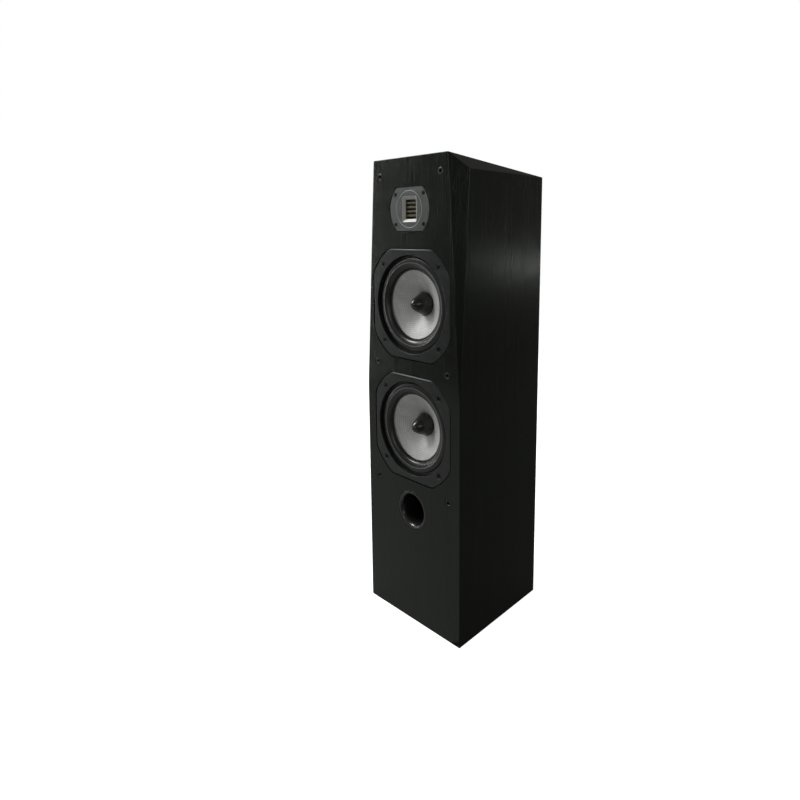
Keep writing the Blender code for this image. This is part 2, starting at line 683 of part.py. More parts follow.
def make_tweeter(baffle, finishes):
    """Face plate with a bead, bevelled aperture frame, slotted pole plate, pleated
    diaphragm, motor and four screws."""
    at = (0, FRONT, TWEETER_HEIGHT)
    bead = TWEETER_BEAD_RADIUS
    outline = flatted_circle(TWEETER_RADIUS, TWEETER_RADIUS, TWEETER_HALF_FLAT, 6)
    face_profile = [
        (0, FACE_DEPTH), (bead - BEAD_FOOT, FACE_DEPTH), (bead - BEAD_CREST, 0.0),
        (bead + BEAD_CREST, 0.0), (bead + BEAD_FOOT, FACE_DEPTH), (FACE_BLANK_RADIUS, FACE_DEPTH),
        (FACE_BLANK_RADIUS, FACE_BACK), (BOSS_RADIUS, FACE_BACK), (BOSS_RADIUS, BOSS_BACK), (0, BOSS_BACK),
    ]
    grey = finishes["plate_grey"]
    face = turned("tweeter_face_plate", face_profile, TWEETER_SEGMENTS, grey, at, closed=False)
    trim = prism_mesh("tweeter_trim", outline, -OVERLAP, BEHIND_FACE)
    boolean(face, cutter("tweeter_trim", trim, at), "INTERSECT")
    well = rounded_slot(APERTURE_OUTER[0] + GAP, APERTURE_OUTER[1] + GAP, APERTURE_CORNER)
    cut(face, cutter("tweeter_well", prism_mesh("tweeter_well", well, -OVERLAP, BEHIND_FACE), at))

    rim = rounded_slot(*APERTURE_OUTER, APERTURE_CORNER)
    frame_mesh = prism_mesh("tweeter_aperture_frame", rim, FACE_DEPTH, APERTURE_BACK)
    frame = add_object("tweeter_aperture_frame", frame_mesh, finishes["silver"], at)
    wide = rounded_slot(APERTURE_OUTER[0] - APERTURE_LIP, APERTURE_OUTER[1] - APERTURE_LIP, APERTURE_CORNER)
    narrow = rounded_slot(*APERTURE_INNER, APERTURE_INNER_CORNER)
    bevel = loft_mesh(
        "tweeter_bevel",
        [(FACE_DEPTH - GAP / 3, wide), (APERTURE_THROAT_DEPTH, narrow), (APERTURE_BACK + OVERLAP, narrow)],
    )
    cut(frame, cutter("tweeter_bevel", bevel, at))

    plate_mesh = prism_mesh("tweeter_pole_plate", rim, POLE_PLATE_FRONT, POLE_PLATE_BACK)
    plate = add_object("tweeter_pole_plate", plate_mesh, finishes["brass"], at)
    for number in range(SLOT_COUNT):
        z = (number - (SLOT_COUNT - 1) / 2) * SLOT_PITCH
        name = f"tweeter_slot_{number + 1}"
        slot = box_mesh(
            name,
            (-SLOT_HALF_WIDTH, POLE_PLATE_FRONT - OVERLAP, z - SLOT_HEIGHT / 2),
            (SLOT_HALF_WIDTH, POLE_PLATE_BACK + OVERLAP, z + SLOT_HEIGHT / 2),
        )
        cut(plate, cutter(name, slot, at))

    make_diaphragm(finishes["film"], at)
    motor = [
        (0, TWEETER_MOTOR_FLOOR), (TWEETER_MOTOR_WELL, TWEETER_MOTOR_FLOOR),
        (TWEETER_MOTOR_WELL, TWEETER_MOTOR_FRONT), (TWEETER_MOTOR_RADIUS, TWEETER_MOTOR_FRONT),
        (TWEETER_MOTOR_RADIUS, TWEETER_MOTOR_BACK - TWEETER_MOTOR_CHAMFER),
        (TWEETER_MOTOR_RADIUS - TWEETER_MOTOR_CHAMFER, TWEETER_MOTOR_BACK), (0, TWEETER_MOTOR_BACK),
    ]
    turned("tweeter_motor", motor, MOTOR_SEGMENTS, finishes["ferrite"], at, closed=False)

    rebate_radius = TWEETER_RADIUS + TWEETER_CLEARANCE
    rebate_outline = flatted_circle(rebate_radius, rebate_radius, TWEETER_HALF_FLAT + TWEETER_CLEARANCE, 6)
    rebate = prism_mesh("tweeter_rebate", rebate_outline, -OVERLAP, FACE_BACK + GAP)
    cut_baffle(baffle, cutter("tweeter_rebate", rebate, at))
    opening = hole(
        "tweeter_opening", TWEETER_OPENING_RADIUS, OVERLAP, BEHIND_BAFFLE, 0, TWEETER_HEIGHT, TWEETER_SEGMENTS
    )
    cut_baffle(baffle, opening)

    seat = FACE_DEPTH + TWEETER_HEAD_DEPTH + 2 * GAP
    shank = TWEETER_SHANK_RADIUS + GAP
    points = []
    for x in (-TWEETER_SCREW_X, TWEETER_SCREW_X):
        for offset in (TWEETER_SCREW_Z, -TWEETER_SCREW_Z):
            z = TWEETER_HEIGHT + offset
            points.append((x, z))
            tag = f"tweeter_{len(points)}"
            cut(face, hole(tag + "_seat", TWEETER_HEAD_RADIUS + GAP, -OVERLAP, seat, x, z))
            cut(face, hole(tag + "_clearance", shank, -OVERLAP, FACE_BACK + OVERLAP, x, z))
            cut_baffle(baffle, hole(tag + "_pilot", shank, TWEETER_PILOT_START, TWEETER_PILOT_END, x, z))
    profile = screw_profile(
        TWEETER_HEAD_RADIUS, TWEETER_HEAD_DEPTH, TWEETER_SHANK_RADIUS, TWEETER_SCREW_LENGTH
    )
    make_screws("tweeter", points, profile, finishes["black_screw"], FACE_DEPTH + GAP)


def make_diaphragm(finish, at):
    """A thin film folded into horizontal pleats."""
    half_x, half_z = FILM_HALF_SIZE
    heights = [half_z - half_z * i / PLEAT_COUNT for i in range(2 * PLEAT_COUNT + 1)]
    near = [(FILM_FRONT + (FILM_FOLD if i % 2 else 0.0), z) for i, z in enumerate(heights)]
    far = [(y + FILM_THICKNESS, z) for y, z in near]
    ring = near + far[::-1]
    shape = bmesh.new()
    ends = [[shape.verts.new((x, y, z)) for y, z in ring] for x in (-half_x, half_x)]
    count = len(ring)
    for i in range(count):
        j = (i + 1) % count
        shape.faces.new((ends[0][i], ends[0][j], ends[1][j], ends[1][i]))
    for end in ends:
        for i in range(len(near) - 1):
            shape.faces.new((end[i], end[i + 1], end[count - 2 - i], end[count - 1 - i]))
    add_object("tweeter_diaphragm", mesh_from("tweeter_diaphragm", shape), finish, at)


# ---------------------------------------------------------------- port and sockets
PORT_LIP_DEPTH = 0.0032
PORT_LIP_EDGE = 0.0006
PORT_SLEEVE_RADIUS = 0.0362
PORT_OPENING_RADIUS = 0.0370
PORT_REBATE_CLEARANCE = 0.0004
PORT_FLARE_DEPTH = 0.020
SOCKET_SLEEVE_RADIUS = 0.0055
SOCKET_RIM_DEPTH = 0.0014
SOCKET_FLOOR = 0.002


def port_profile():
    """A tube that flares at both ends, with a thin lip at the front."""
    flare_reach = PORT_LIP_RADIUS - 2 * PORT_LIP_EDGE - PORT_BORE_RADIUS
    steps = 4
    bore = []
    outside = []
    for i in range(steps + 1):
        angle = math.pi / 2 * i / steps
        radius = PORT_BORE_RADIUS + flare_reach * (1 - math.sin(angle))
        depth = PORT_FLARE_DEPTH * (1 - math.cos(angle))
        bore.append((radius, depth))
        if depth > PORT_LIP_DEPTH:
            outside.append((radius + PORT_WALL, depth + 0.0005))
    rear_bore = [
        (PORT_BORE_RADIUS, PORT_LENGTH - PORT_FLARE_DEPTH),
        (PORT_BORE_RADIUS + 0.0015, PORT_LENGTH - 0.4 * PORT_FLARE_DEPTH),
        (PORT_BORE_RADIUS + 0.0050, PORT_LENGTH),
    ]
    rear_outside = [(radius + PORT_WALL, depth) for radius, depth in reversed(rear_bore)]
    lip = [
        (PORT_SLEEVE_RADIUS, PORT_LIP_DEPTH), (PORT_LIP_RADIUS, PORT_LIP_DEPTH),
        (PORT_LIP_RADIUS, PORT_LIP_EDGE),
    ]
    return bore + rear_bore + rear_outside + outside[::-1] + lip


def make_port(baffle, finishes):
    at = (0, FRONT, PORT_HEIGHT)
    turned("port_tube", port_profile(), PORT_SEGMENTS, finishes["gloss_black"], at)
    radius = PORT_LIP_RADIUS + PORT_REBATE_CLEARANCE
    depth = PORT_LIP_DEPTH + PORT_REBATE_CLEARANCE
    cut_baffle(baffle, hole("port_rebate", radius, -OVERLAP, depth, 0, PORT_HEIGHT, PORT_SEGMENTS))
    opening = hole("port_opening", PORT_OPENING_RADIUS, OVERLAP, BEHIND_BAFFLE, 0, PORT_HEIGHT, PORT_SEGMENTS)
    cut_baffle(baffle, opening)


def make_sockets(baffle, finishes):
    """Six cups that take the grille's pegs."""
    bore_end = SOCKET_LENGTH - SOCKET_FLOOR
    profile = [
        (0, bore_end), (SOCKET_BORE_RADIUS, bore_end),
        (SOCKET_BORE_RADIUS, 0.0008), (SOCKET_BORE_RADIUS + 0.0009, 0.0),
        (SOCKET_RADIUS - 0.0010, 0.0), (SOCKET_RADIUS, 0.0006), (SOCKET_RADIUS, SOCKET_RIM_DEPTH),
        (SOCKET_SLEEVE_RADIUS, SOCKET_RIM_DEPTH), (SOCKET_SLEEVE_RADIUS, SOCKET_LENGTH), (0, SOCKET_LENGTH),
    ]
    rebate = (SOCKET_RADIUS + GAP, -OVERLAP, SOCKET_RIM_DEPTH + GAP)
    bore = (SOCKET_SLEEVE_RADIUS + GAP, OVERLAP, SOCKET_LENGTH + GAP)
    for level, (z, half_spacing) in SOCKET_PAIRS.items():
        for side, x in (("left", -half_spacing), ("right", half_spacing)):
            name = f"grille_socket_{level}_{side}"
            turned(name, profile, SMALL_SEGMENTS, finishes["black_plastic"], (x, FRONT, z), closed=False)
            cut_baffle(baffle, hole(name + "_rebate", *rebate, x, z))
            cut_baffle(baffle, hole(name + "_bore", *bore, x, z))


# ---------------------------------------------------------------- terminals
TERMINAL_FLANGE_DEPTH = 0.003
TERMINAL_WALL = 0.0025
BEHIND_BACK = 0.050
STEM_RADIUS = 0.0029
STEM_END = 0.0206
STEM_TAPER = 0.0006
TAIL_RADIUS = 0.0020
TAIL_END = -0.018
COLLAR_RADIUS = 0.0065
COLLAR_END = 0.0035
POST_HOLE_RADIUS = 0.0024
WASHER_RADIUS = 0.0068
WASHER_START = 0.0038
WASHER_END = 0.0050
KNOB_RADIUS = 0.0075
KNOB_START = 0.0053
KNOB_END = 0.0168
KNOB_CHAMFERS = (0.0010, 0.0012)


def make_terminals(back, finishes):
    """A recessed cup with two binding posts. Each post has a stud, a captive washer that
    slides on it, and a knob that screws along it."""
    flange_x, flange_z = TERMINAL_FLANGE
    cup_x, cup_z = TERMINAL_CUP
    flange_depth = TERMINAL_FLANGE_DEPTH
    wall = TERMINAL_WALL
    at = (0, BACK, TERMINAL_HEIGHT)
    floor = -TERMINAL_CUP_DEPTH

    flange_mesh = box_mesh("terminal_cup", (-flange_x, -flange_depth, -flange_z), (flange_x, 0, flange_z))
    cup = add_object("terminal_cup", flange_mesh, finishes["black_plastic"], at)
    shell = box_mesh(
        "terminal_shell",
        (-cup_x - wall, floor - TERMINAL_FLOOR, -cup_z - wall), (cup_x + wall, -OVERLAP, cup_z + wall),
    )
    boolean(cup, cutter("terminal_shell", shell, at), "UNION")
    hollow = box_mesh("terminal_hollow", (-cup_x, floor, -cup_z), (cup_x, OVERLAP, cup_z))
    cut(cup, cutter("terminal_hollow", hollow, at))

    rebate = box_mesh(
        "terminal_rebate",
        (-flange_x - GAP, -flange_depth - GAP, -flange_z - GAP), (flange_x + GAP, OVERLAP, flange_z + GAP),
    )
    cut(back, cutter("terminal_rebate", rebate, at))
    opening = box_mesh(
        "terminal_opening",
        (-cup_x - wall - GAP, -BEHIND_BACK, -cup_z - wall - GAP),
        (cup_x + wall + GAP, OVERLAP, cup_z + wall + GAP),
    )
    cut(back, cutter("terminal_opening", opening, at))

    for colour, side in (("black", -1), ("red", 1)):
        base = (side * POST_SPACING / 2, BACK + floor, TERMINAL_HEIGHT)
        through = ring_profile(0, POST_HOLE_RADIUS, -0.010, 0.010)
        drill = turned_mesh(colour + "_post_hole", through, SMALL_SEGMENTS, closed=False)
        cut(cup, cutter(colour + "_post_hole", drill, base))
        make_post(colour, base, finishes)


def make_post(colour, base, finishes):
    """A stud with a collar, a washer and a knob, standing on the floor of the cup."""
    bore = STEM_RADIUS + GAP
    near_chamfer, far_chamfer = KNOB_CHAMFERS
    stud = [
        (0, TAIL_END), (TAIL_RADIUS, TAIL_END), (TAIL_RADIUS, GAP), (COLLAR_RADIUS, GAP),
        (COLLAR_RADIUS, COLLAR_END), (STEM_RADIUS, COLLAR_END), (STEM_RADIUS, STEM_END - STEM_TAPER),
        (STEM_RADIUS - STEM_TAPER, STEM_END), (0, STEM_END),
    ]
    washer = ring_profile(bore, WASHER_RADIUS, WASHER_START, WASHER_END)
    knob = [
        (bore, KNOB_START), (KNOB_RADIUS - near_chamfer, KNOB_START),
        (KNOB_RADIUS, KNOB_START + near_chamfer), (KNOB_RADIUS, KNOB_END - far_chamfer),
        (KNOB_RADIUS - far_chamfer, KNOB_END), (bore, KNOB_END),
    ]
    turned(colour + "_post_stud", stud, SMALL_SEGMENTS, finishes["steel"], base, closed=False)
    turned(colour + "_post_washer", washer, SMALL_SEGMENTS, finishes["steel"], base)
    made = turned(colour + "_post_knob", knob, MOTOR_SEGMENTS, finishes[colour + "_plastic"], base)
    made.data.set_sharp_from_angle(angle=math.radians(12))


# ---------------------------------------------------------------- crossover
BOARD_THICKNESS = 0.0016
BOARD_LOW = (-0.080, -0.030)
BOARD_HIGH = (0.080, 0.060)
INDUCTOR_AT = (-0.042, 0.015)
INDUCTOR_RADII = (0.0110, 0.0240)
INDUCTOR_HEIGHT = 0.0200
CAPACITOR_AT = (0.038, -0.008)
CAPACITOR_RADIUS = 0.0140
CAPACITOR_LENGTH = 0.0450
CAPACITOR_CHAMFER = 0.0020


def make_crossover(finishes):
    """A board on the base with one air-core inductor and one film capacitor."""
    floor = PANEL_THICKNESS + GAP
    board_top = floor + BOARD_THICKNESS
    seat = board_top + GAP
    board = box_mesh("crossover_board", (*BOARD_LOW, floor), (*BOARD_HIGH, board_top))
    add_object("crossover_board", board, finishes["board_green"])

    coil = ring_profile(*INDUCTOR_RADII, 0.0, INDUCTOR_HEIGHT)
    inductor = turned("crossover_inductor", coil, MOTOR_SEGMENTS, finishes["copper"], (*INDUCTOR_AT, seat))
    inductor.rotation_euler = (math.radians(90), 0, 0)

    barrel = ring_profile(0, CAPACITOR_RADIUS, 0.0, CAPACITOR_LENGTH, CAPACITOR_CHAMFER)
    at = (*CAPACITOR_AT, seat + CAPACITOR_RADIUS)
    turned("crossover_capacitor", barrel, MOTOR_SEGMENTS, finishes["red_plastic"], at, closed=False)


# ---------------------------------------------------------------- assembly
def clear_scene():
    for old in list(bpy.data.objects):
        bpy.data.objects.remove(old, do_unlink=True)


def main():
    clear_scene()
    finishes = make_materials()
    baffle, back = make_cabinet(finishes)
    for place, height in WOOFER_HEIGHTS.items():
        make_woofer(place, height, baffle, finishes)
    make_tweeter(baffle, finishes)
    make_port(baffle, finishes)
    make_sockets(baffle, finishes)
    make_terminals(back, finishes)
    make_crossover(finishes)


main()
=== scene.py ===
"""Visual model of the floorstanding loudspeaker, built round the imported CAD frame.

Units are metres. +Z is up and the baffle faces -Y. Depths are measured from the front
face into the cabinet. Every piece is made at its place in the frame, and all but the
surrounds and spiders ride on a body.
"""

import json
import math

import bmesh
import bpy
from mathutils import Matrix, Vector


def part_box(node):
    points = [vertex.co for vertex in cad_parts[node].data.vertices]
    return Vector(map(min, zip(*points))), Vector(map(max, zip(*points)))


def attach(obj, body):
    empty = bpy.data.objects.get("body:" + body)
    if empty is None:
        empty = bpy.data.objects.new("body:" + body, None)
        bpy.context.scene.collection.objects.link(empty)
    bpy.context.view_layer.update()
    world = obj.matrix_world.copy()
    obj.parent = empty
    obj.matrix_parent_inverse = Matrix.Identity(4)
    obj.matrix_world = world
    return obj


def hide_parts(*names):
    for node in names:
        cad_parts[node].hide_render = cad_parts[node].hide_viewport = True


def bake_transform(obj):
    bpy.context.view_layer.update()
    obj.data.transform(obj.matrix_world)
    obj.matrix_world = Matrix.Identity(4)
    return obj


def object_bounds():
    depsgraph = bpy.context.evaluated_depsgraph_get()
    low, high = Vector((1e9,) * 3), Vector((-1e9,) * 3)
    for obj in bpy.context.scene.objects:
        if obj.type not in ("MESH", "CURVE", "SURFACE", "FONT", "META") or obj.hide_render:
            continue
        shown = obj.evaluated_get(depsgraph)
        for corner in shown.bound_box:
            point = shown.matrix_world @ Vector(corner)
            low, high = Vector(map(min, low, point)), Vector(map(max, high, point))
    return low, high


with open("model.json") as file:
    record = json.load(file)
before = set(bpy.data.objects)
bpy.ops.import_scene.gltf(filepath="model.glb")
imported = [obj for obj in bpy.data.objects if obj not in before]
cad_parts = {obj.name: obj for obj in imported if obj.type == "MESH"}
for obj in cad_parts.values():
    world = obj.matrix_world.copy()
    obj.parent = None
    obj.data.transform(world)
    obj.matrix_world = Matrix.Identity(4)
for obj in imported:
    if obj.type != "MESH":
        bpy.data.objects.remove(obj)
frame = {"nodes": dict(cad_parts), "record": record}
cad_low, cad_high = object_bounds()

# ---------------------------------------------------------------- dimensions
HALF = cad_high.x
FRONT = cad_low.y
BACK = cad_high.y
HEIGHT = cad_high.z
GAP = 0.0003
# A cutter starts this far in front of the face that it cuts.
OVERLAP = 0.002
# The start of a hole that opens out of a rebate, and a depth behind the whole baffle.
IN_REBATE = 0.001
BEHIND_BAFFLE = 0.030

FACET_FOOT = 0.490
FACET_FRONT_WIDTH = 0.0315
FACET_SIDE_WIDTH = 0.0255
FACET_SIDE_DROP = 0.0305
BACK_DROP = 0.0265
EDGE_ROUND = 0.0011
BAFFLE_THICKNESS = 0.022
PANEL_THICKNESS = 0.018

WOOFER_HALF_FLAT = 0.1105
WOOFER_OUTLINE_RADIUS = 0.1254
WOOFER_RECESS_RADIUS = 0.0985
WOOFER_HOLE_RADIUS = 0.1016
WOOFER_FLANGE_THICKNESS = 0.005
WOOFER_OUTLINE_GAP = 0.0013
SURROUND_CREST_RADIUS = 0.0835
SURROUND_ROLL_WIDTH = 0.022
SURROUND_ROLL_HEIGHT = 0.0050
SURROUND_LIP_DEPTH = 0.0097
SURROUND_FOOT_DEPTH = 0.0140
RUBBER_THICKNESS = 0.0010
CONE_EDGE_RADIUS = 0.0725
CONE_EDGE_DEPTH = 0.0145
CONE_NECK_RADIUS = 0.0198
CONE_NECK_DEPTH = 0.0448
DUST_CAP_RADIUS = 0.0242
DUST_CAP_TIP_DEPTH = 0.0045
DUST_CAP_RIM_DEPTH = 0.0416
CAP_NOSE_POWER = 1.95
DUST_CAP_SHELL = 0.0015
CONE_CURVE = 1.08
CONE_THICKNESS = 0.0012

# The basket behind the flange, from the front backwards. Pairs are a radius and a depth.
BASKET_BLANK_RADIUS = 0.1040
BASKET_SHOULDER = (0.1010, 0.0115)
BASKET_WALL_START = (0.0980, 0.0160)
BASKET_WALL_END = (0.0700, 0.0730)
BASKET_REAR_RADIUS = 0.0660
BASKET_REAR_HOLE = 0.0260
BASKET_REAR_THICKNESS = 0.0045
BASKET_DEPTH = 0.084
BASKET_LEDGE_RADIUS = 0.0900
BASKET_LEDGE_DEPTHS = (0.0100, 0.0120, 0.0135)
WINDOW_COUNT = 6
WINDOW_HALF_ANGLE = math.radians(21)
WINDOW_RADII = (0.040, 0.125)
WINDOW_DEPTHS = (0.0235, 0.0660)
SPIDER_DEPTH = 0.070
SPIDER_LEDGE_RADII = (0.0570, 0.0655)
SPIDER_RADII = (0.0200, 0.0648)
SPIDER_THICKNESS = 0.0008
SPIDER_WAVE = 0.0015
SPIDER_WAVE_COUNT = 6

TWEETER_RADIUS = 0.0558
TWEETER_HALF_FLAT = 0.0425
TWEETER_OUTLINE_GAP = 0.0006
TWEETER_HOLE_RADIUS = 0.0384
TWEETER_REBATE_DEPTH = 0.0053
BEAD_RADIUS = 0.0355
BEAD_HALF_WIDTH = 0.0006
BEAD_HEIGHT = 0.0005
FACE_DEPTH = 0.0006
FACE_BACK = 0.0050
BOSS_RADIUS = 0.0378
BOSS_BACK = 0.0096
APERTURE_OUTER = (0.0212, 0.0251)
APERTURE_INNER = (0.0150, 0.0188)
APERTURE_CORNER = 0.0040
POLE_PLATE_DEPTHS = (0.0063, 0.0092)
SLOT_HALF_WIDTH = 0.0145
SLOT_COUNT = 5
SLOT_PITCH = 0.0080
SLOT_HEIGHT = 0.0038
PLEAT_COUNT = 9
PLEAT_DEPTH = 0.0026
FILM_HALF_SIZE = (0.0190, 0.0225)
FILM_DEPTH = 0.0098
FILM_THICKNESS = 0.0004

PORT_LIP_RADIUS = 0.0408
PORT_BORE_RADIUS = 0.0300
PORT_LENGTH = 0.150
PORT_WALL = 0.0022
PORT_HOLE_RADIUS = 0.0370
PORT_LIP_THICKNESS = 0.0032
PORT_FLARE_DEPTH = 0.020
PORT_TAIL_FLARE = 0.0050

SOCKET_RADIUS = 0.0075
SOCKET_BORE_RADIUS = 0.0032
SOCKET_BARREL_RADIUS = 0.0055
SOCKET_LIP_THICKNESS = 0.0014
SOCKET_LENGTH = 0.012

TERMINAL_FLANGE = (0.056, 0.044)
TERMINAL_CUP = (0.044, 0.032)
TERMINAL_CUP_DEPTH = 0.027
TERMINAL_WALL = 0.0025
TERMINAL_FLANGE_THICKNESS = 0.0030
STEM_RADIUS = 0.0029
STEM_END = 0.0206
WASHER_RADIUS = 0.0068
WASHER_DEPTHS = (0.0038, 0.0050)
KNOB_RADIUS = 0.0075
KNOB_START = 0.0053
KNOB_LENGTH = 0.0115
KNOB_RIB_COUNT = 18

ROUND_SEGMENTS = 144
HOLE_SEGMENTS = 96
SMALL_SEGMENTS = 48

ROOT = "cabinet"


def centre_of(node):
    """Middle of a CAD node's box."""
    low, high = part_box(node)
    return (low + high) / 2


# ---------------------------------------------------------------- material helpers
def node(tree, kind, inputs=None, **settings):
    """Adds a shader node. An input given as a socket is linked, any other is set."""
    made = tree.nodes.new("ShaderNode" + kind)
    for key, value in settings.items():
        setattr(made, key, value)
    for key, value in (inputs or {}).items():
        if isinstance(value, bpy.types.NodeSocket):
            tree.links.new(value, made.inputs[key])
        else:
            made.inputs[key].default_value = value
    return made


def new_finish(name, **inputs):
    """A Principled material. Keyword names are socket names with _ for spaces."""
    made = bpy.data.materials.new(name)
    made.use_nodes = True
    shader = made.node_tree.nodes["Principled BSDF"]
    for key, value in inputs.items():
        shader.inputs[key.replace("_", " ")].default_value = value
    return made, made.node_tree, shader


def place(tree, stretch, uv_map=None):
    """Object coordinates in metres, or a named UV map, scaled along each axis."""
    if uv_map:
        source = node(tree, "UVMap", uv_map=uv_map).outputs[0]
    else:
        source = node(tree, "TexCoord").outputs["Object"]
    return node(tree, "Mapping", {"Vector": source, "Scale": stretch}).outputs[0]


def noise(tree, vector, scale, detail=4.0, roughness=0.6, distortion=0.0):
    inputs = {
        "Vector": vector, "Scale": scale, "Detail": detail,
        "Roughness": roughness, "Distortion": distortion,
    }
    return node(tree, "TexNoise", inputs).outputs[0]


def spread(tree, value, low, high, start=0.3, end=0.7):
    """Maps a noise value onto a range of numbers."""
    inputs = {"Value": value, "From Min": start, "From Max": end, "To Min": low, "To Max": high}
    return node(tree, "MapRange", inputs).outputs[0]


def maths(tree, operation, a, b=0.0):
    return node(tree, "Math", {0: a, 1: b}, operation=operation).outputs[0]


def mix_colour(tree, factor, a, b):
    """Blends two colours. Each is three numbers or a socket."""
    made = node(tree, "Mix", data_type="RGBA")
    tree.links.new(factor, made.inputs[0])
    for index, value in ((6, a), (7, b)):
        if isinstance(value, bpy.types.NodeSocket):
            tree.links.new(value, made.inputs[index])
        else:
            made.inputs[index].default_value = (*value, 1.0)
    return made.outputs[2]


def connect(tree, shader, colour=None, roughness=None, height=None, distance=0.0001, strength=1.0):
    """Links colour, roughness and a bump height into the shader."""
    if colour is not None:
        tree.links.new(colour, shader.inputs["Base Color"])
    if roughness is not None:
        tree.links.new(roughness, shader.inputs["Roughness"])
    if height is not None:
        bump = node(tree, "Bump", {"Height": height, "Distance": distance, "Strength": strength})
        tree.links.new(bump.outputs[0], shader.inputs["Normal"])


def mottled(name, dark, light, roughness, scale, bump, stretch=(1, 1, 1), **inputs):
    """A general finish: cloudy colour, a finer change of roughness, and a fine bump."""
    made, tree, shader = new_finish(name, **inputs)
    vector = place(tree, stretch)
    cloud = noise(tree, vector, scale)
    fine = noise(tree, vector, scale * 9, detail=6.0, roughness=0.7)
    colour = mix_colour(tree, spread(tree, cloud, 0.0, 1.0), dark, light)
    both = maths(tree, "ADD", maths(tree, "MULTIPLY", cloud, 0.6), maths(tree, "MULTIPLY", fine, 0.4))
    rough = spread(tree, both, *roughness)
    connect(tree, shader, colour, rough, fine, bump)
    return made


# ---------------------------------------------------------------- materials
def grain(tree, across, along, **look):
    """Noise drawn out along the veneer's grain, with its lines per metre each way."""
    return noise(tree, place(tree, (across, along, 1), "grain"), 1.0, **look)


def black_ash():
    """Open-grained ash veneer under satin black lacquer. The grain runs along V."""
    dark_wood = (0.0016, 0.0019, 0.0015)
    light_wood = (0.0064, 0.0073, 0.0059)
    pore_colour = (0.0016, 0.0016, 0.0016)
    made, tree, shader = new_finish(
        "black_ash", Specular_IOR_Level=0.36, Specular_Tint=(0.90, 1.0, 0.88, 1.0))
    figure = grain(tree, across=60, along=2.2, detail=3.0, distortion=0.8)
    streak = grain(tree, across=420, along=3.2, detail=5.0, roughness=0.65)
    pores = grain(tree, across=1300, along=26, detail=3.0, roughness=0.5)
    open_pore = spread(tree, pores, 0.0, 1.0, 0.36, 0.50)
    lines = maths(tree, "ADD", maths(tree, "MULTIPLY", figure, 0.5), maths(tree, "MULTIPLY", streak, 0.5))
    tone = spread(tree, lines, 0.0, 1.0, 0.35, 0.65)
    colour = mix_colour(tree, open_pore, pore_colour, mix_colour(tree, tone, dark_wood, light_wood))
    rough = spread(tree, streak, 0.14, 0.30)
    height = maths(tree, "ADD", maths(tree, "MULTIPLY", open_pore, 0.7), maths(tree, "MULTIPLY", streak, 0.6))
    connect(tree, shader, colour, rough, height, 0.00005)
    return made


def woven(name, pitch, warp, weft, dark, roughness, depth, angle=45, **inputs):
    """A plain weave seen from the front, with its threads at an angle to the vertical."""
    made, tree, shader = new_finish(name, **inputs)
    source = node(tree, "TexCoord").outputs["Object"]
    turned_by = node(
        tree, "Mapping",
        {"Vector": source, "Rotation": (0, math.radians(angle), 0), "Scale": (1 / pitch, 0.0, 1 / pitch)},
    )
    # The mapping scales before it turns, so equal scales keep the weave square.
    split = node(tree, "SeparateXYZ", {"Vector": turned_by.outputs[0]})
    across, along = split.outputs["X"], split.outputs["Z"]
    flat = node(tree, "CombineXYZ", {"X": across, "Y": along, "Z": 0.5}).outputs[0]
    over = node(tree, "TexChecker", {"Vector": flat, "Scale": 1.0}).outputs["Fac"]
    warp_hump = maths(tree, "ABSOLUTE", maths(tree, "SINE", maths(tree, "MULTIPLY", across, math.pi)))
    weft_hump = maths(tree, "ABSOLUTE", maths(tree, "SINE", maths(tree, "MULTIPLY", along, math.pi)))
    warp_part = maths(tree, "MULTIPLY", warp_hump, over)
    weft_part = maths(tree, "MULTIPLY", weft_hump, maths(tree, "SUBTRACT", 1.0, over))
    hump = maths(tree, "ADD", warp_part, weft_part)
    cloth = noise(tree, source, 38.0, detail=4.0)
    fibre = noise(tree, source, 900.0, detail=2.0)
    # The warp is given a lighter colour than the weft as a painted sheen.
    thread = mix_colour(tree, over, weft, warp)
    # The low parts between the threads are painted darker, as painted shade.
    shaded = mix_colour(tree, spread(tree, hump, 0.0, 1.0, 0.05, 0.55), dark, thread)
    colour = mix_colour(tree, spread(tree, cloth, 0.0, 0.45), shaded, dark)
    rough = spread(tree, fibre, *roughness)
    height = maths(tree, "ADD", hump, maths(tree, "MULTIPLY", fibre, 0.25))
    connect(tree, shader, colour, rough, height, depth)
    return made


def rubber():
    """Soft black rubber, painted paler along the crest as a painted highlight of the roll."""
    crest_highlight_reach = (0.0003, 0.0010)
    made, tree, shader = new_finish("rubber")
    cloud = noise(tree, place(tree, (1, 1, 1)), 40.0)
    fine = noise(tree, place(tree, (1, 1, 1)), 500.0, detail=6.0)
    radius = node(tree, "SeparateXYZ", {"Vector": place(tree, (1, 1, 1), "rings")}).outputs["X"]
    off_crest = maths(tree, "ABSOLUTE", maths(tree, "SUBTRACT", radius, SURROUND_CREST_RADIUS))
    crest = spread(tree, off_crest, 1.0, 0.0, *crest_highlight_reach)
    cloudy = spread(tree, cloud, 0.0, 1.0)
    plain = mix_colour(tree, cloudy, (0.007, 0.0075, 0.007), (0.014, 0.015, 0.014))
    # The paler band along the crest is a painted highlight, not a colour of the rubber.
    colour = mix_colour(tree, crest, plain, (0.15, 0.155, 0.15))
    connect(tree, shader, colour, spread(tree, fine, 0.24, 0.38), fine, 0.00002)
    return made


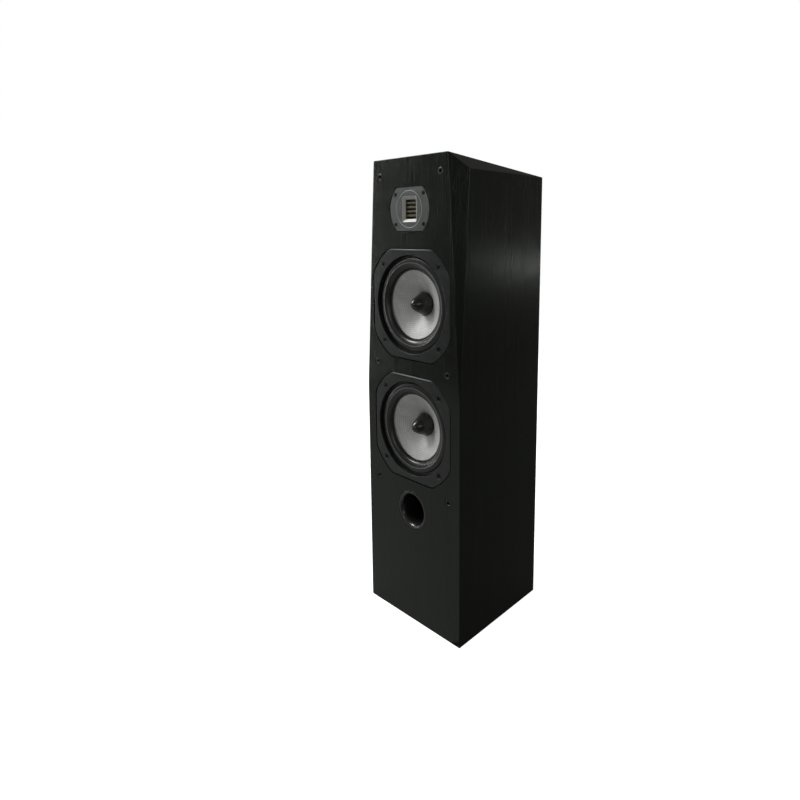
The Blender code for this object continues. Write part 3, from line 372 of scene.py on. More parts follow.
FINISHES = {
    "black_ash": black_ash(),
    "bare_board": mottled(
        "bare_board", (0.24, 0.16, 0.09), (0.40, 0.29, 0.18), (0.65, 0.85), 60, 0.0002),
    "grey_metal": mottled(
        "grey_metal", (0.014, 0.016, 0.0155), (0.022, 0.025, 0.024), (0.27, 0.40), 55, 0.00003,
        Metallic=0.25),
    "rubber": rubber(),
    "cone": woven(
        "cone", 0.0028, (0.72, 0.73, 0.71), (0.55, 0.56, 0.55), (0.24, 0.235, 0.225),
        (0.32, 0.48), 0.00022, Metallic=0.15),
    "gloss_black": mottled(
        "gloss_black", (0.006, 0.0065, 0.006), (0.011, 0.0115, 0.0105), (0.22, 0.32), 30, 0.000006,
        Coat_Weight=0.30, Coat_Roughness=0.10),
    "fabric": woven(
        "fabric", 0.0009, (0.50, 0.36, 0.16), (0.43, 0.30, 0.12), (0.20, 0.12, 0.04),
        (0.70, 0.90), 0.00012, angle=0),
    "ferrite": mottled(
        "ferrite", (0.020, 0.020, 0.022), (0.045, 0.045, 0.048), (0.50, 0.70), 90, 0.00008),
    "steel": mottled(
        "steel", (0.42, 0.42, 0.43), (0.60, 0.60, 0.61), (0.22, 0.36), 120, 0.00002,
        stretch=(1, 5, 1), Metallic=1.0),
    "plate_grey": mottled(
        "plate_grey", (0.100, 0.104, 0.105), (0.132, 0.136, 0.138), (0.28, 0.42), 70, 0.00002,
        Metallic=0.4),
    "silver": mottled(
        "silver", (0.38, 0.38, 0.36), (0.50, 0.50, 0.48), (0.46, 0.60), 90, 0.00001,
        stretch=(1, 1, 6), Metallic=0.5),
    "brass": mottled(
        "brass", (0.10, 0.095, 0.070), (0.17, 0.160, 0.120), (0.34, 0.48), 80, 0.00002,
        stretch=(6, 1, 1), Metallic=0.7),
    "copper": mottled(
        "copper", (0.48, 0.20, 0.10), (0.66, 0.30, 0.17), (0.25, 0.40), 200, 0.00005,
        stretch=(1, 8, 1), Metallic=1.0),
    "film": mottled(
        "film", (0.030, 0.022, 0.010), (0.070, 0.050, 0.022), (0.18, 0.34), 90, 0.00001,
        stretch=(1, 1, 6)),
    "black_screw": mottled(
        "black_screw", (0.002, 0.002, 0.002), (0.006, 0.006, 0.006), (0.32, 0.48), 300, 0.00001,
        Specular_IOR_Level=0.3),
    "black_plastic": mottled(
        "black_plastic", (0.004, 0.004, 0.004), (0.009, 0.009, 0.009), (0.26, 0.40), 160, 0.00004),
    "red_plastic": mottled(
        "red_plastic", (0.36, 0.010, 0.008), (0.50, 0.018, 0.014), (0.22, 0.36), 120, 0.00002),
    "board_green": mottled(
        "board_green", (0.018, 0.075, 0.035), (0.040, 0.130, 0.060), (0.36, 0.52), 50, 0.00003),
}


# ---------------------------------------------------------------- mesh helpers
def add_piece(name, shape, slot, location=(0, 0, 0), sharp=32):
    """Turns a bmesh into a smooth-shaded object, with edges kept sharp above an angle."""
    bmesh.ops.recalc_face_normals(shape, faces=shape.faces)
    mesh = bpy.data.meshes.new(name)
    shape.to_mesh(mesh)
    shape.free()
    mesh.materials.append(FINISHES[slot])
    made = bpy.data.objects.new(name, mesh)
    made.location = location
    bpy.context.scene.collection.objects.link(made)
    mesh.shade_smooth()
    mesh.set_sharp_from_angle(angle=math.radians(sharp))
    return made


def settle(piece, body, *nodes):
    """Evens the shading of flat faces, rides the piece on a body and hides its CAD nodes."""
    even = piece.modifiers.new("even_normals", "WEIGHTED_NORMAL")
    even.keep_sharp = True
    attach(piece, body)
    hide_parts(*nodes)
    return piece


def radius_at(radius, angle):
    return radius(angle) if callable(radius) else radius


def revolve(rings, segments=ROUND_SEGMENTS, closed=True):
    """A bmesh spun about the Y axis. Each ring is (radius, depth). The radius is a number
    or a function of the angle, and zero closes the form on the axis."""
    shape = bmesh.new()
    loops = []
    for radius, depth in rings:
        if radius == 0:
            loops.append([shape.verts.new((0, depth, 0))])
            continue
        loop = []
        for i in range(segments):
            angle = 2 * math.pi * i / segments
            reach = radius_at(radius, angle)
            loop.append(shape.verts.new((reach * math.cos(angle), depth, reach * math.sin(angle))))
        loops.append(loop)
    pairs = list(zip(loops, loops[1:]))
    if closed:
        pairs.append((loops[-1], loops[0]))
    for near, far in pairs:
        for i in range(segments):
            j = (i + 1) % segments
            corners = [near[i % len(near)], near[j % len(near)], far[j % len(far)], far[i % len(far)]]
            distinct = list(dict.fromkeys(corners))
            if len(distinct) > 2:
                shape.faces.new(distinct)
    return shape


def loft(sections, ring=False):
    """Joins outlines of equal length, each (depth, [(x, z), ...]). A ring closes on
    itself, and any other loft is capped at both ends."""
    shape = bmesh.new()
    loops = [[shape.verts.new((x, depth, z)) for x, z in outline] for depth, outline in sections]
    pairs = list(zip(loops, loops[1:]))
    if ring:
        pairs.append((loops[-1], loops[0]))
    else:
        shape.faces.new(loops[0])
        shape.faces.new(loops[-1])
    for near, far in pairs:
        for i in range(len(near)):
            j = (i + 1) % len(near)
            shape.faces.new((near[i], near[j], far[j], far[i]))
    return shape


def rounded_rectangle(half_x, half_z, corner, steps=6):
    """Points of a rectangle with round corners, the same number for any size."""
    points = []
    for quarter, (sx, sz) in enumerate(((1, 1), (-1, 1), (-1, -1), (1, -1))):
        for i in range(steps + 1):
            angle = math.pi / 2 * (quarter + i / steps)
            points.append((
                sx * (half_x - corner) + corner * math.cos(angle),
                sz * (half_z - corner) + corner * math.sin(angle),
            ))
    return points


def fillet(points, radius, steps=4):
    """Rounds the inner corners of an open (radius, depth) profile."""
    kept = [points[0]]
    for before, corner, after in zip(points, points[1:], points[2:]):
        into = Vector(corner) - Vector(before)
        out = Vector(after) - Vector(corner)
        if into.length < 1e-7 or out.length < 1e-7 or into.angle(out) < math.radians(12):
            kept.append(corner)
            continue
        reach = min(radius, 0.45 * into.length, 0.45 * out.length)
        start = Vector(corner) - into.normalized() * reach
        end = Vector(corner) + out.normalized() * reach
        for i in range(steps + 1):
            t = i / steps
            point = start * (1 - t) ** 2 + Vector(corner) * 2 * t * (1 - t) + end * t ** 2
            kept.append((point.x, point.y))
    kept.append(points[-1])
    return kept


def soft_outline(radius, half_x, half_z, inset=0.0):
    """Radius, by angle, of a circle with flats, where flats and arcs meet in a soft corner."""
    softness = 90

    def reach(angle):
        limits = [radius]
        for half, share in ((half_x, abs(math.cos(angle))), (half_z, abs(math.sin(angle)))):
            if half and share > 0.05:
                limits.append(half / share)
        return sum(limit ** -softness for limit in limits) ** (-1 / softness) - inset

    return reach


def tool(shape, location=(0, 0, 0)):
    """A helper object for a Boolean."""
    bmesh.ops.recalc_face_normals(shape, faces=shape.faces)
    mesh = bpy.data.meshes.new("tool")
    shape.to_mesh(mesh)
    shape.free()
    made = bpy.data.objects.new("tool", mesh)
    made.location = location
    bpy.context.scene.collection.objects.link(made)
    return made


def carve(piece, tools, sharp=32):
    """Cuts the tools out of the piece, one after another, and removes them."""
    for other in tools:
        cut = piece.modifiers.new("cut", "BOOLEAN")
        cut.operation = "DIFFERENCE"
        cut.solver = "MANIFOLD"
        cut.object = other
    graph = bpy.context.evaluated_depsgraph_get()
    mesh = bpy.data.meshes.new_from_object(piece.evaluated_get(graph))
    piece.modifiers.clear()
    piece.data = mesh
    mesh.shade_smooth()
    mesh.set_sharp_from_angle(angle=math.radians(sharp))
    for other in tools:
        bpy.data.objects.remove(other)


def bore_tool(radius, start, end, location, chamfer=0.0, segments=SMALL_SEGMENTS):
    """A round cutter between two depths. A chamfer widens it where it meets the front."""
    rings = [(0, start), (radius, start), (radius, end), (0, end)]
    if chamfer:
        rings[1:2] = [(radius + chamfer, start), (radius + chamfer, 0.0), (radius, chamfer)]
    return tool(revolve(rings, segments, closed=False), location)


# ---------------------------------------------------------------- cabinet
def cabinet_hull():
    """The outer form: a box with facets on its upper corners and a top that slopes back."""
    shape = bmesh.new()
    for side in (-1, 1):
        shape.verts.new((side * HALF, FRONT, 0))
        shape.verts.new((side * HALF, BACK, 0))
        shape.verts.new((side * HALF, FRONT, FACET_FOOT))
        shape.verts.new((side * (HALF - FACET_FRONT_WIDTH), FRONT, HEIGHT))
        shape.verts.new((side * HALF, FRONT + FACET_SIDE_WIDTH, HEIGHT - FACET_SIDE_DROP))
        shape.verts.new((side * HALF, BACK, HEIGHT - BACK_DROP))
    bmesh.ops.convex_hull(shape, input=shape.verts)
    bmesh.ops.dissolve_limit(shape, angle_limit=math.radians(1), verts=shape.verts, edges=shape.edges)
    bmesh.ops.bevel(
        shape, geom=list(shape.edges), offset=EDGE_ROUND, segments=3, profile=0.5,
        affect="EDGES", clamp_overlap=True,
    )
    return shape


def cavity():
    """The hollow inside the panels."""
    low_z = PANEL_THICKNESS
    half = HALF - PANEL_THICKNESS
    sections = []
    for y in (FRONT + BAFFLE_THICKNESS, BACK - PANEL_THICKNESS):
        top = HEIGHT - BACK_DROP * (y - FRONT) / (BACK - FRONT) - PANEL_THICKNESS
        sections.append((y, [(-half, low_z), (half, low_z), (half, top), (-half, top)]))
    return tool(loft(sections))


def map_grain(mesh):
    """A UV map in metres whose V runs along the grain of the veneer on each face."""
    layer = mesh.uv_layers.new(name="grain")
    for face in mesh.polygons:
        normal = face.normal
        start = 0.9 * round(normal.x, 1) + 1.7 * round(normal.y, 1) + 2.9 * round(normal.z, 1)
        for loop in face.loop_indices:
            point = mesh.vertices[mesh.loops[loop].vertex_index].co
            if abs(normal.z) > 0.5:
                across, along = point.x, point.y
            elif abs(normal.x) > abs(normal.y):
                across, along = point.y, point.z
            else:
                across, along = point.x, point.z
            layer.data[loop].uv = (across + start, along + start)


def flange_tool(outline, depth, location):
    """Cuts the shallow rebate that a driver's flange sits in."""
    rings = [(0, -OVERLAP), (outline, -OVERLAP), (outline, depth), (0, depth)]
    return tool(revolve(rings, closed=False), location)


def baffle_tools():
    """Cutters for the rebates and holes of the woofers, tweeter, port and sockets."""
    tools = []
    for place_name in ("upper", "lower"):
        at = (0, FRONT, centre_of(f"{place_name}_woofer_frame").z)
        outline = soft_outline(WOOFER_OUTLINE_RADIUS, WOOFER_HALF_FLAT, WOOFER_HALF_FLAT, -WOOFER_OUTLINE_GAP)
        tools.append(flange_tool(outline, WOOFER_FLANGE_THICKNESS + GAP, at))
        tools.append(bore_tool(WOOFER_HOLE_RADIUS, IN_REBATE, BEHIND_BAFFLE, at, segments=HOLE_SEGMENTS))
    at = (0, FRONT, centre_of("tweeter_face_plate").z)
    outline = soft_outline(TWEETER_RADIUS, 0, TWEETER_HALF_FLAT, -TWEETER_OUTLINE_GAP)
    tools.append(flange_tool(outline, TWEETER_REBATE_DEPTH, at))
    tools.append(bore_tool(TWEETER_HOLE_RADIUS, IN_REBATE, BEHIND_BAFFLE, at, segments=HOLE_SEGMENTS))
    at = (0, FRONT, centre_of("port_tube").z)
    lip_depth = PORT_LIP_THICKNESS + 0.0004
    tools.append(bore_tool(PORT_LIP_RADIUS + 0.0004, -OVERLAP, lip_depth, at, segments=HOLE_SEGMENTS))
    tools.append(bore_tool(PORT_HOLE_RADIUS, IN_REBATE, BEHIND_BAFFLE, at, segments=HOLE_SEGMENTS))
    for name in socket_names():
        at = centre_of(name)
        at.y = FRONT
        tools.append(bore_tool(SOCKET_RADIUS + GAP, -OVERLAP, SOCKET_LIP_THICKNESS + GAP, at))
        tools.append(bore_tool(SOCKET_BARREL_RADIUS + GAP, IN_REBATE, SOCKET_LENGTH + GAP, at))
    return tools


def back_tools():
    """Cutters for the terminal cup's flange and shell."""
    at = (0, BACK, centre_of("terminal_cup").z)
    clearance = TERMINAL_WALL + GAP
    flange = rounded_rectangle(TERMINAL_FLANGE[0] + GAP, TERMINAL_FLANGE[1] + GAP, 0.006)
    shell = rounded_rectangle(TERMINAL_CUP[0] + clearance, TERMINAL_CUP[1] + clearance, 0.006)
    return [
        tool(loft([(-TERMINAL_FLANGE_THICKNESS - GAP, flange), (0.010, flange)]), at),
        tool(loft([(-0.050, shell), (0.010, shell)]), at),
    ]


def make_cabinet():
    tools = [cavity()] + baffle_tools() + back_tools()
    body = add_piece("cabinet_body", cabinet_hull(), "black_ash")
    carve(body, tools)
    map_grain(body.data)
    settle(
        body, ROOT, "front_baffle", "side_panel_left", "side_panel_right",
        "top_panel", "bottom_panel", "back_panel",
    )


# ---------------------------------------------------------------- screws
def hexagon(across_flats):
    def reach(angle):
        return across_flats / 2 / math.cos((angle + math.pi / 6) % (math.pi / 3) - math.pi / 6)
    return reach


def screw_rings(head_radius, head_depth, shank_radius, length):
    """A cap screw with a hexagon socket, a rounded head and a threaded shank."""
    floor = head_depth * 0.75
    lead_in = 0.0004
    pitch = 0.0013
    socket = hexagon(head_radius * 0.92)
    mouth = hexagon(head_radius)
    head = fillet([
        (head_radius * 0.62, 0.0), (head_radius, 0.0), (head_radius, head_depth), (shank_radius, head_depth),
    ], 0.0006)
    thread = []
    for i in range(int((length - head_depth - 2 * shank_radius) / pitch)):
        start = head_depth + pitch * (i + 0.5)
        thread += [(shank_radius * 0.82, start), (shank_radius, start + pitch / 2)]
    tip = [(shank_radius * 0.7, length - shank_radius), (0, length)]
    return [(0, floor), (socket, floor), (socket, lead_in), (mouth, 0.0)] + head + thread + tip


def make_screws(prefix, rings, depth):
    """Four screws, one at each CAD screw's place."""
    for number in range(1, 5):
        name = f"{prefix}_screw_{number}"
        at = centre_of(name)
        at.y = FRONT + depth
        screw = add_piece(name + "_detail", revolve(rings, 24, closed=False), "black_screw", at)
        screw.rotation_euler = (0, 0.7 * number, 0)
        settle(screw, ROOT, name)


# ---------------------------------------------------------------- woofers
def frame_rings():
    """Flange with a chamfered edge, recess ledge, basket wall, spider ledge, rear plate."""
    def outline(inset):
        return soft_outline(WOOFER_OUTLINE_RADIUS, WOOFER_HALF_FLAT, WOOFER_HALF_FLAT, inset)
    ledge_top, ledge_back, basket_top = BASKET_LEDGE_DEPTHS
    ledge_inner, ledge_outer = SPIDER_LEDGE_RADII
    rear_plate = BASKET_DEPTH - BASKET_REAR_THICKNESS
    recess = fillet([
        (BASKET_LEDGE_RADIUS, ledge_back), (BASKET_LEDGE_RADIUS, ledge_top),
        (WOOFER_RECESS_RADIUS + 0.0004, ledge_top), (WOOFER_RECESS_RADIUS, 0.0), (BASKET_BLANK_RADIUS, 0.0),
    ], 0.0009)
    edge = [
        (outline(0.0020), 0.0), (outline(0.0014), 0.0002), (outline(0.0002), 0.0013),
        (outline(0.0), 0.0016), (outline(0.0), WOOFER_FLANGE_THICKNESS),
    ]
    basket = fillet([
        (BASKET_BLANK_RADIUS, WOOFER_FLANGE_THICKNESS), (BASKET_SHOULDER[0], WOOFER_FLANGE_THICKNESS),
        BASKET_SHOULDER, BASKET_WALL_START, BASKET_WALL_END, (BASKET_REAR_RADIUS, BASKET_DEPTH),
        (BASKET_REAR_HOLE, BASKET_DEPTH), (BASKET_REAR_HOLE, rear_plate), (ledge_inner, rear_plate),
        (ledge_inner, SPIDER_DEPTH + GAP), (ledge_outer, SPIDER_DEPTH + GAP),
        (BASKET_LEDGE_RADIUS, basket_top),
    ], 0.0012)
    return recess + edge + basket


def window_tools(location):
    """Wedges that open the basket wall between its spokes."""
    made = []
    inner, outer = WINDOW_RADII
    start, end = WINDOW_DEPTHS
    for number in range(WINDOW_COUNT):
        middle = 2 * math.pi * number / WINDOW_COUNT
        near = []
        far = []
        for i in range(9):
            angle = middle + WINDOW_HALF_ANGLE * (i / 4 - 1)
            near.append((inner * math.cos(angle), inner * math.sin(angle)))
            far.append((outer * math.cos(angle), outer * math.sin(angle)))
        outline = near + far[::-1]
        made.append(tool(loft([(start, outline), (end, outline)]), location))
    return made


def screw_hole_tools(prefix, surface, head_radius, head_end, shank_radius, chamfer):
    """Counterbored holes at the CAD screws' places."""
    tools = []
    for number in range(1, 5):
        spot = centre_of(f"{prefix}_screw_{number}")
        spot.y = surface
        tools.append(bore_tool(head_radius, -OVERLAP, head_end, spot, chamfer=chamfer))
        tools.append(bore_tool(shank_radius, IN_REBATE, 0.008, spot))
    return tools


def make_frame(prefix, at):
    piece = add_piece(f"{prefix}_frame_detail", revolve(frame_rings()), "grey_metal", at)
    holes = screw_hole_tools(prefix, FRONT, head_radius=0.0056, head_end=0.0038, shank_radius=0.0026,
                             chamfer=0.0005)
    carve(piece, window_tools(at) + holes)
    settle(piece, ROOT, f"{prefix}_frame")


def surround_rings():
    """A half-roll of rubber with a lip at each edge and a fine ridge on its crest."""
    steps = 28
    ridge_height = 0.00035
    ridge_angle = 0.07
    half = SURROUND_ROLL_WIDTH / 2
    front = []
    rear = []
    for i in range(steps + 1):
        angle = math.pi * i / steps
        ridge = ridge_height * math.exp(-((angle - math.pi / 2) / ridge_angle) ** 2)
        rise = (SURROUND_ROLL_HEIGHT - 0.0003) * math.sin(angle) + ridge
        base = SURROUND_LIP_DEPTH + (SURROUND_FOOT_DEPTH - SURROUND_LIP_DEPTH) * (i / steps) ** 2
        front.append((SURROUND_CREST_RADIUS + half * math.cos(angle), base - RUBBER_THICKNESS - rise))
        inner = (half - RUBBER_THICKNESS) * math.cos(angle)
        rear.append((SURROUND_CREST_RADIUS + inner, base - SURROUND_ROLL_HEIGHT * math.sin(angle)))
    frame_lip = [
        (0.0978, SURROUND_LIP_DEPTH), (0.0980, SURROUND_LIP_DEPTH - 0.0006),
        (0.0975, SURROUND_LIP_DEPTH - 0.0011),
    ]
    cone_lip = fillet([
        (0.0722, SURROUND_FOOT_DEPTH - 0.0010), (0.0712, SURROUND_FOOT_DEPTH - 0.0015),
        (0.0696, SURROUND_FOOT_DEPTH - 0.0010), (0.0688, SURROUND_FOOT_DEPTH - 0.0004),
        (0.0688, SURROUND_FOOT_DEPTH),
    ], 0.0004)
    return frame_lip + front + cone_lip + rear[::-1]


def spider_rings():
    """A corrugated disc that centres the voice coil. Its waves fade out at both edges."""
    steps = 72
    inner, outer = SPIDER_RADII
    front = []
    for i in range(steps + 1):
        share = i / steps
        fade = min(1.0, 6 * share, 6 * (1 - share))
        wave = SPIDER_WAVE * fade * math.sin(share * 2 * SPIDER_WAVE_COUNT * math.pi)
        front.append((inner + (outer - inner) * share, SPIDER_DEPTH - SPIDER_THICKNESS + wave))
    rear = [(radius, depth + SPIDER_THICKNESS) for radius, depth in front]
    return front + rear[::-1]


def make_flexing(name, rings, slot, at, fixed_radius, moving_radius, node_name):
    """A ring that is held by the frame at one radius and by the cone at another. Each
    point's share between the two radii is computed, but nothing uses it."""
    piece = add_piece(name, revolve(rings), slot, at)
    layer = piece.data.uv_layers.new(name="rings")
    for loop in piece.data.loops:
        point = piece.data.vertices[loop.vertex_index].co
        layer.data[loop.index].uv = (math.hypot(point.x, point.z), point.y)
    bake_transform(piece)
    for vertex in piece.data.vertices:
        reach = math.hypot(vertex.co.x - at[0], vertex.co.z - at[2])
        share = (reach - fixed_radius) / (moving_radius - fixed_radius)
        share = min(1.0, max(0.0, share))
    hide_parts(node_name)


def cone_rings():
    """A thin cone, a little steeper towards its neck."""
    steps = 24
    front = []
    for i in range(steps + 1):
        share = i / steps
        radius = CONE_EDGE_RADIUS - (CONE_EDGE_RADIUS - CONE_NECK_RADIUS) * share
        depth = CONE_EDGE_DEPTH + (CONE_NECK_DEPTH - CONE_EDGE_DEPTH) * share ** CONE_CURVE
        front.append((radius, depth))
    rear = [(radius, depth + CONE_THICKNESS) for radius, depth in front]
    return front + rear[::-1]


def dust_cap_rings():
    """A round-nosed bullet that stands on a narrow foot ring."""
    steps = 36
    foot_height = 0.0046
    foot_step = 0.0016
    nose_radius = DUST_CAP_RADIUS - foot_step
    hollow_radius = nose_radius - DUST_CAP_SHELL
    foot_top = DUST_CAP_RIM_DEPTH - foot_height
    rim = DUST_CAP_RIM_DEPTH + 0.0004
    hollow_tip = DUST_CAP_TIP_DEPTH + 2 * DUST_CAP_SHELL
    outer = [(0, DUST_CAP_TIP_DEPTH)]
    inner = []
    for i in range(1, steps + 1):
        share = i / steps
        curve = share ** CAP_NOSE_POWER
        outer.append((nose_radius * share, DUST_CAP_TIP_DEPTH + (foot_top - DUST_CAP_TIP_DEPTH) * curve))
        inner.append((hollow_radius * share, hollow_tip + (rim - hollow_tip) * curve))
    foot = fillet([
        (nose_radius, foot_top), (nose_radius + 0.0003, foot_top + 0.0003),
        (DUST_CAP_RADIUS, foot_top + 0.0016), (DUST_CAP_RADIUS, rim), (hollow_radius, rim),
    ], 0.0005)
    return outer + foot[1:-1] + inner[::-1] + [(0, hollow_tip)]


def make_woofer(place_name):
    prefix = place_name + "_woofer"
    moving = place_name + "_cone_assembly"
    at = (0, FRONT, centre_of(f"{prefix}_frame").z)
    make_frame(prefix, at)
    screw = screw_rings(head_radius=0.0052, head_depth=0.0032, shank_radius=0.0022, length=0.018)
    make_screws(prefix, screw, GAP)
    make_flexing(f"{prefix}_surround_detail", surround_rings(), "rubber", at,
                 fixed_radius=0.0965, moving_radius=0.0735, node_name=f"{prefix}_surround")
    make_flexing(f"{prefix}_spider_detail", spider_rings(), "fabric", at,
                 fixed_radius=0.0620, moving_radius=0.0215, node_name=f"{prefix}_spider")
    cone = add_piece(f"{prefix}_cone_detail", revolve(cone_rings()), "cone", at)
    settle(cone, moving, f"{prefix}_cone")
    bullet = revolve(dust_cap_rings(), HOLE_SEGMENTS, closed=False)
    cap = add_piece(f"{prefix}_dust_cap_detail", bullet, "gloss_black", at)
    settle(cap, moving, f"{prefix}_dust_cap")


# ---------------------------------------------------------------- tweeter
def make_tweeter():
    at = (0, FRONT, centre_of("tweeter_face_plate").z)
    make_face_plate(at)
    make_bead(at)
    make_aperture(at)
    make_pole_plate(at)
    make_diaphragm(at)


def make_face_plate(at):
    """The grey plate with its boss behind, a window and four countersunk screws."""
    def outline(inset):
        return soft_outline(TWEETER_RADIUS, 0, TWEETER_HALF_FLAT, inset)

    rings = [
        (0, FACE_DEPTH), (outline(0.0016), FACE_DEPTH), (outline(0.0010), FACE_DEPTH + 0.0001),
        (outline(0.0001), FACE_DEPTH + 0.0009), (outline(0.0), FACE_DEPTH + 0.0013),
        (outline(0.0), FACE_BACK), (BOSS_RADIUS, FACE_BACK), (BOSS_RADIUS, BOSS_BACK), (0, BOSS_BACK),
    ]
    face = add_piece("tweeter_face_detail", revolve(rings, closed=False), "plate_grey", at)
    well = rounded_rectangle(APERTURE_OUTER[0] + GAP, APERTURE_OUTER[1] + GAP, APERTURE_CORNER + GAP)
    window = tool(loft([(-OVERLAP, well), (0.020, well)]), at)
    holes = screw_hole_tools("tweeter", FRONT + FACE_DEPTH, head_radius=0.0043, head_end=0.0030,
                             shank_radius=0.0021, chamfer=0.0004)
    carve(face, [window] + holes)
    settle(face, ROOT, "tweeter_face_plate")
    screw = screw_rings(head_radius=0.0040, head_depth=0.0024, shank_radius=0.0018, length=0.016)
    make_screws("tweeter", screw, FACE_DEPTH + GAP)


def make_bead(at):
    """The thin bright ring that stands on the face plate round the window."""
    steps = 8
    rings = []
    for i in range(steps + 1):
        angle = math.pi * i / steps
        radius = BEAD_RADIUS - BEAD_HALF_WIDTH * math.cos(angle)
        rings.append((radius, FACE_DEPTH - BEAD_HEIGHT * math.sin(angle)))
    sunk = FACE_DEPTH + 0.0002
    rings += [(BEAD_RADIUS + BEAD_HALF_WIDTH, sunk), (BEAD_RADIUS - BEAD_HALF_WIDTH, sunk)]
    settle(add_piece("tweeter_ring_detail", revolve(rings), "silver", at), ROOT)


def inset_section(depth, size, inset, corner):
    """One outline of a loft: a rectangle drawn in from its given half sizes."""
    return depth, rounded_rectangle(size[0] - inset, size[1] - inset, corner)


def make_aperture(at):
    """The bright bevel that runs down from the face plate to the slots."""
    rim = add_piece("tweeter_bevel_detail", loft([
        inset_section(0.0060, APERTURE_OUTER, 0.0, APERTURE_CORNER),
        inset_section(0.0010, APERTURE_OUTER, 0.0, APERTURE_CORNER),
        inset_section(0.0007, APERTURE_OUTER, 0.0003, 0.0037),
        inset_section(0.0007, APERTURE_OUTER, 0.0006, 0.0036),
        inset_section(0.0010, APERTURE_OUTER, 0.0010, 0.0034),
        inset_section(0.0048, APERTURE_INNER, -0.0003, 0.0016),
        inset_section(0.0052, APERTURE_INNER, 0.0, 0.0014),
        inset_section(0.0060, APERTURE_INNER, 0.0, 0.0014),
    ], ring=True), "silver", at)
    settle(rim, ROOT, "tweeter_aperture_frame")


def make_pole_plate(at):
    """The slotted plate in front of the diaphragm."""
    start, end = POLE_PLATE_DEPTHS
    plate = add_piece("tweeter_pole_detail", loft([
        inset_section(start, APERTURE_OUTER, 0.0003, 0.0037),
        inset_section(start + 0.0003, APERTURE_OUTER, 0.0, APERTURE_CORNER),
        inset_section(end, APERTURE_OUTER, 0.0, APERTURE_CORNER),
    ]), "brass", at)
    slot = rounded_rectangle(SLOT_HALF_WIDTH, SLOT_HEIGHT / 2, 0.0009)
    mouth = rounded_rectangle(SLOT_HALF_WIDTH + 0.0004, SLOT_HEIGHT / 2 + 0.0004, 0.0012)
    tools = []
    for number in range(SLOT_COUNT):
        z = at[2] + (number - (SLOT_COUNT - 1) / 2) * SLOT_PITCH
        sections = [(0.0050, mouth), (start, mouth), (start + 0.0004, slot), (0.0110, slot)]
        tools.append(tool(loft(sections), (0, FRONT, z)))
    carve(plate, tools)
    settle(plate, ROOT, "tweeter_pole_plate")


def make_diaphragm(at):
    """A thin film folded into horizontal pleats."""
    half_x, half_z = FILM_HALF_SIZE
    steps = PLEAT_COUNT * 12
    near = []
    for i in range(steps + 1):
        swing = 0.5 - 0.5 * math.cos(2 * math.pi * PLEAT_COUNT * i / steps)
        near.append((FILM_DEPTH + PLEAT_DEPTH * swing, half_z - 2 * half_z * i / steps))
    ring = near + [(depth + FILM_THICKNESS, z) for depth, z in reversed(near)]
    shape = bmesh.new()
    ends = [[shape.verts.new((x, y, z)) for y, z in ring] for x in (-half_x, half_x)]
    count = len(ring)
    for i in range(count):
        j = (i + 1) % count
        shape.faces.new((ends[0][i], ends[0][j], ends[1][j], ends[1][i]))
    for end in ends:
        for i in range(steps):
            shape.faces.new((end[i], end[i + 1], end[count - 2 - i], end[count - 1 - i]))
    film = add_piece("tweeter_diaphragm_detail", shape, "film", at)
    settle(film, ROOT, "tweeter_diaphragm")


# ---------------------------------------------------------------- port and sockets
def make_port():
    """A tube with a wide flare and lip at the front and a small flare inside."""
    at = (0, FRONT, centre_of("port_tube").z)
    flare_reach = PORT_LIP_RADIUS - PORT_LIP_THICKNESS - PORT_BORE_RADIUS
    flare_steps = 24
    bore = []
    outside = []
    for i in range(flare_steps + 1):
        angle = math.pi / 2 * i / flare_steps
        radius = PORT_BORE_RADIUS + flare_reach * (1 - math.sin(angle))
        depth = PORT_FLARE_DEPTH * (1 - math.cos(angle))
        bore.append((radius, depth))
        if depth > 0.004:
            outside.append((radius + PORT_WALL, depth + 0.0005))
    tail_steps = 12
    tail_depth = 0.020
    tail = []
    for i in range(tail_steps + 1):
        angle = math.pi / 2 * i / tail_steps
        radius = PORT_BORE_RADIUS + PORT_TAIL_FLARE * (1 - math.cos(angle))
        tail.append((radius, PORT_LENGTH - tail_depth + tail_depth * math.sin(angle)))
    outer_tail = [(radius + PORT_WALL, depth) for radius, depth in reversed(tail)]
    lip = fillet([
        (0.0362, 0.0045), (0.0362, PORT_LIP_THICKNESS), (PORT_LIP_RADIUS, PORT_LIP_THICKNESS),
        (PORT_LIP_RADIUS, 0.0004), (0.0396, 0.0), (PORT_BORE_RADIUS + flare_reach + 0.0003, 0.0),
    ], 0.0006)
    rings = bore + tail + outer_tail + outside[::-1] + lip
    tube = add_piece("port_detail", revolve(rings), "gloss_black", at)
    settle(tube, ROOT, "port_tube")


def socket_names():
    levels = ("top", "middle", "bottom")
    return [f"grille_socket_{level}_{side}" for level in levels for side in ("left", "right")]


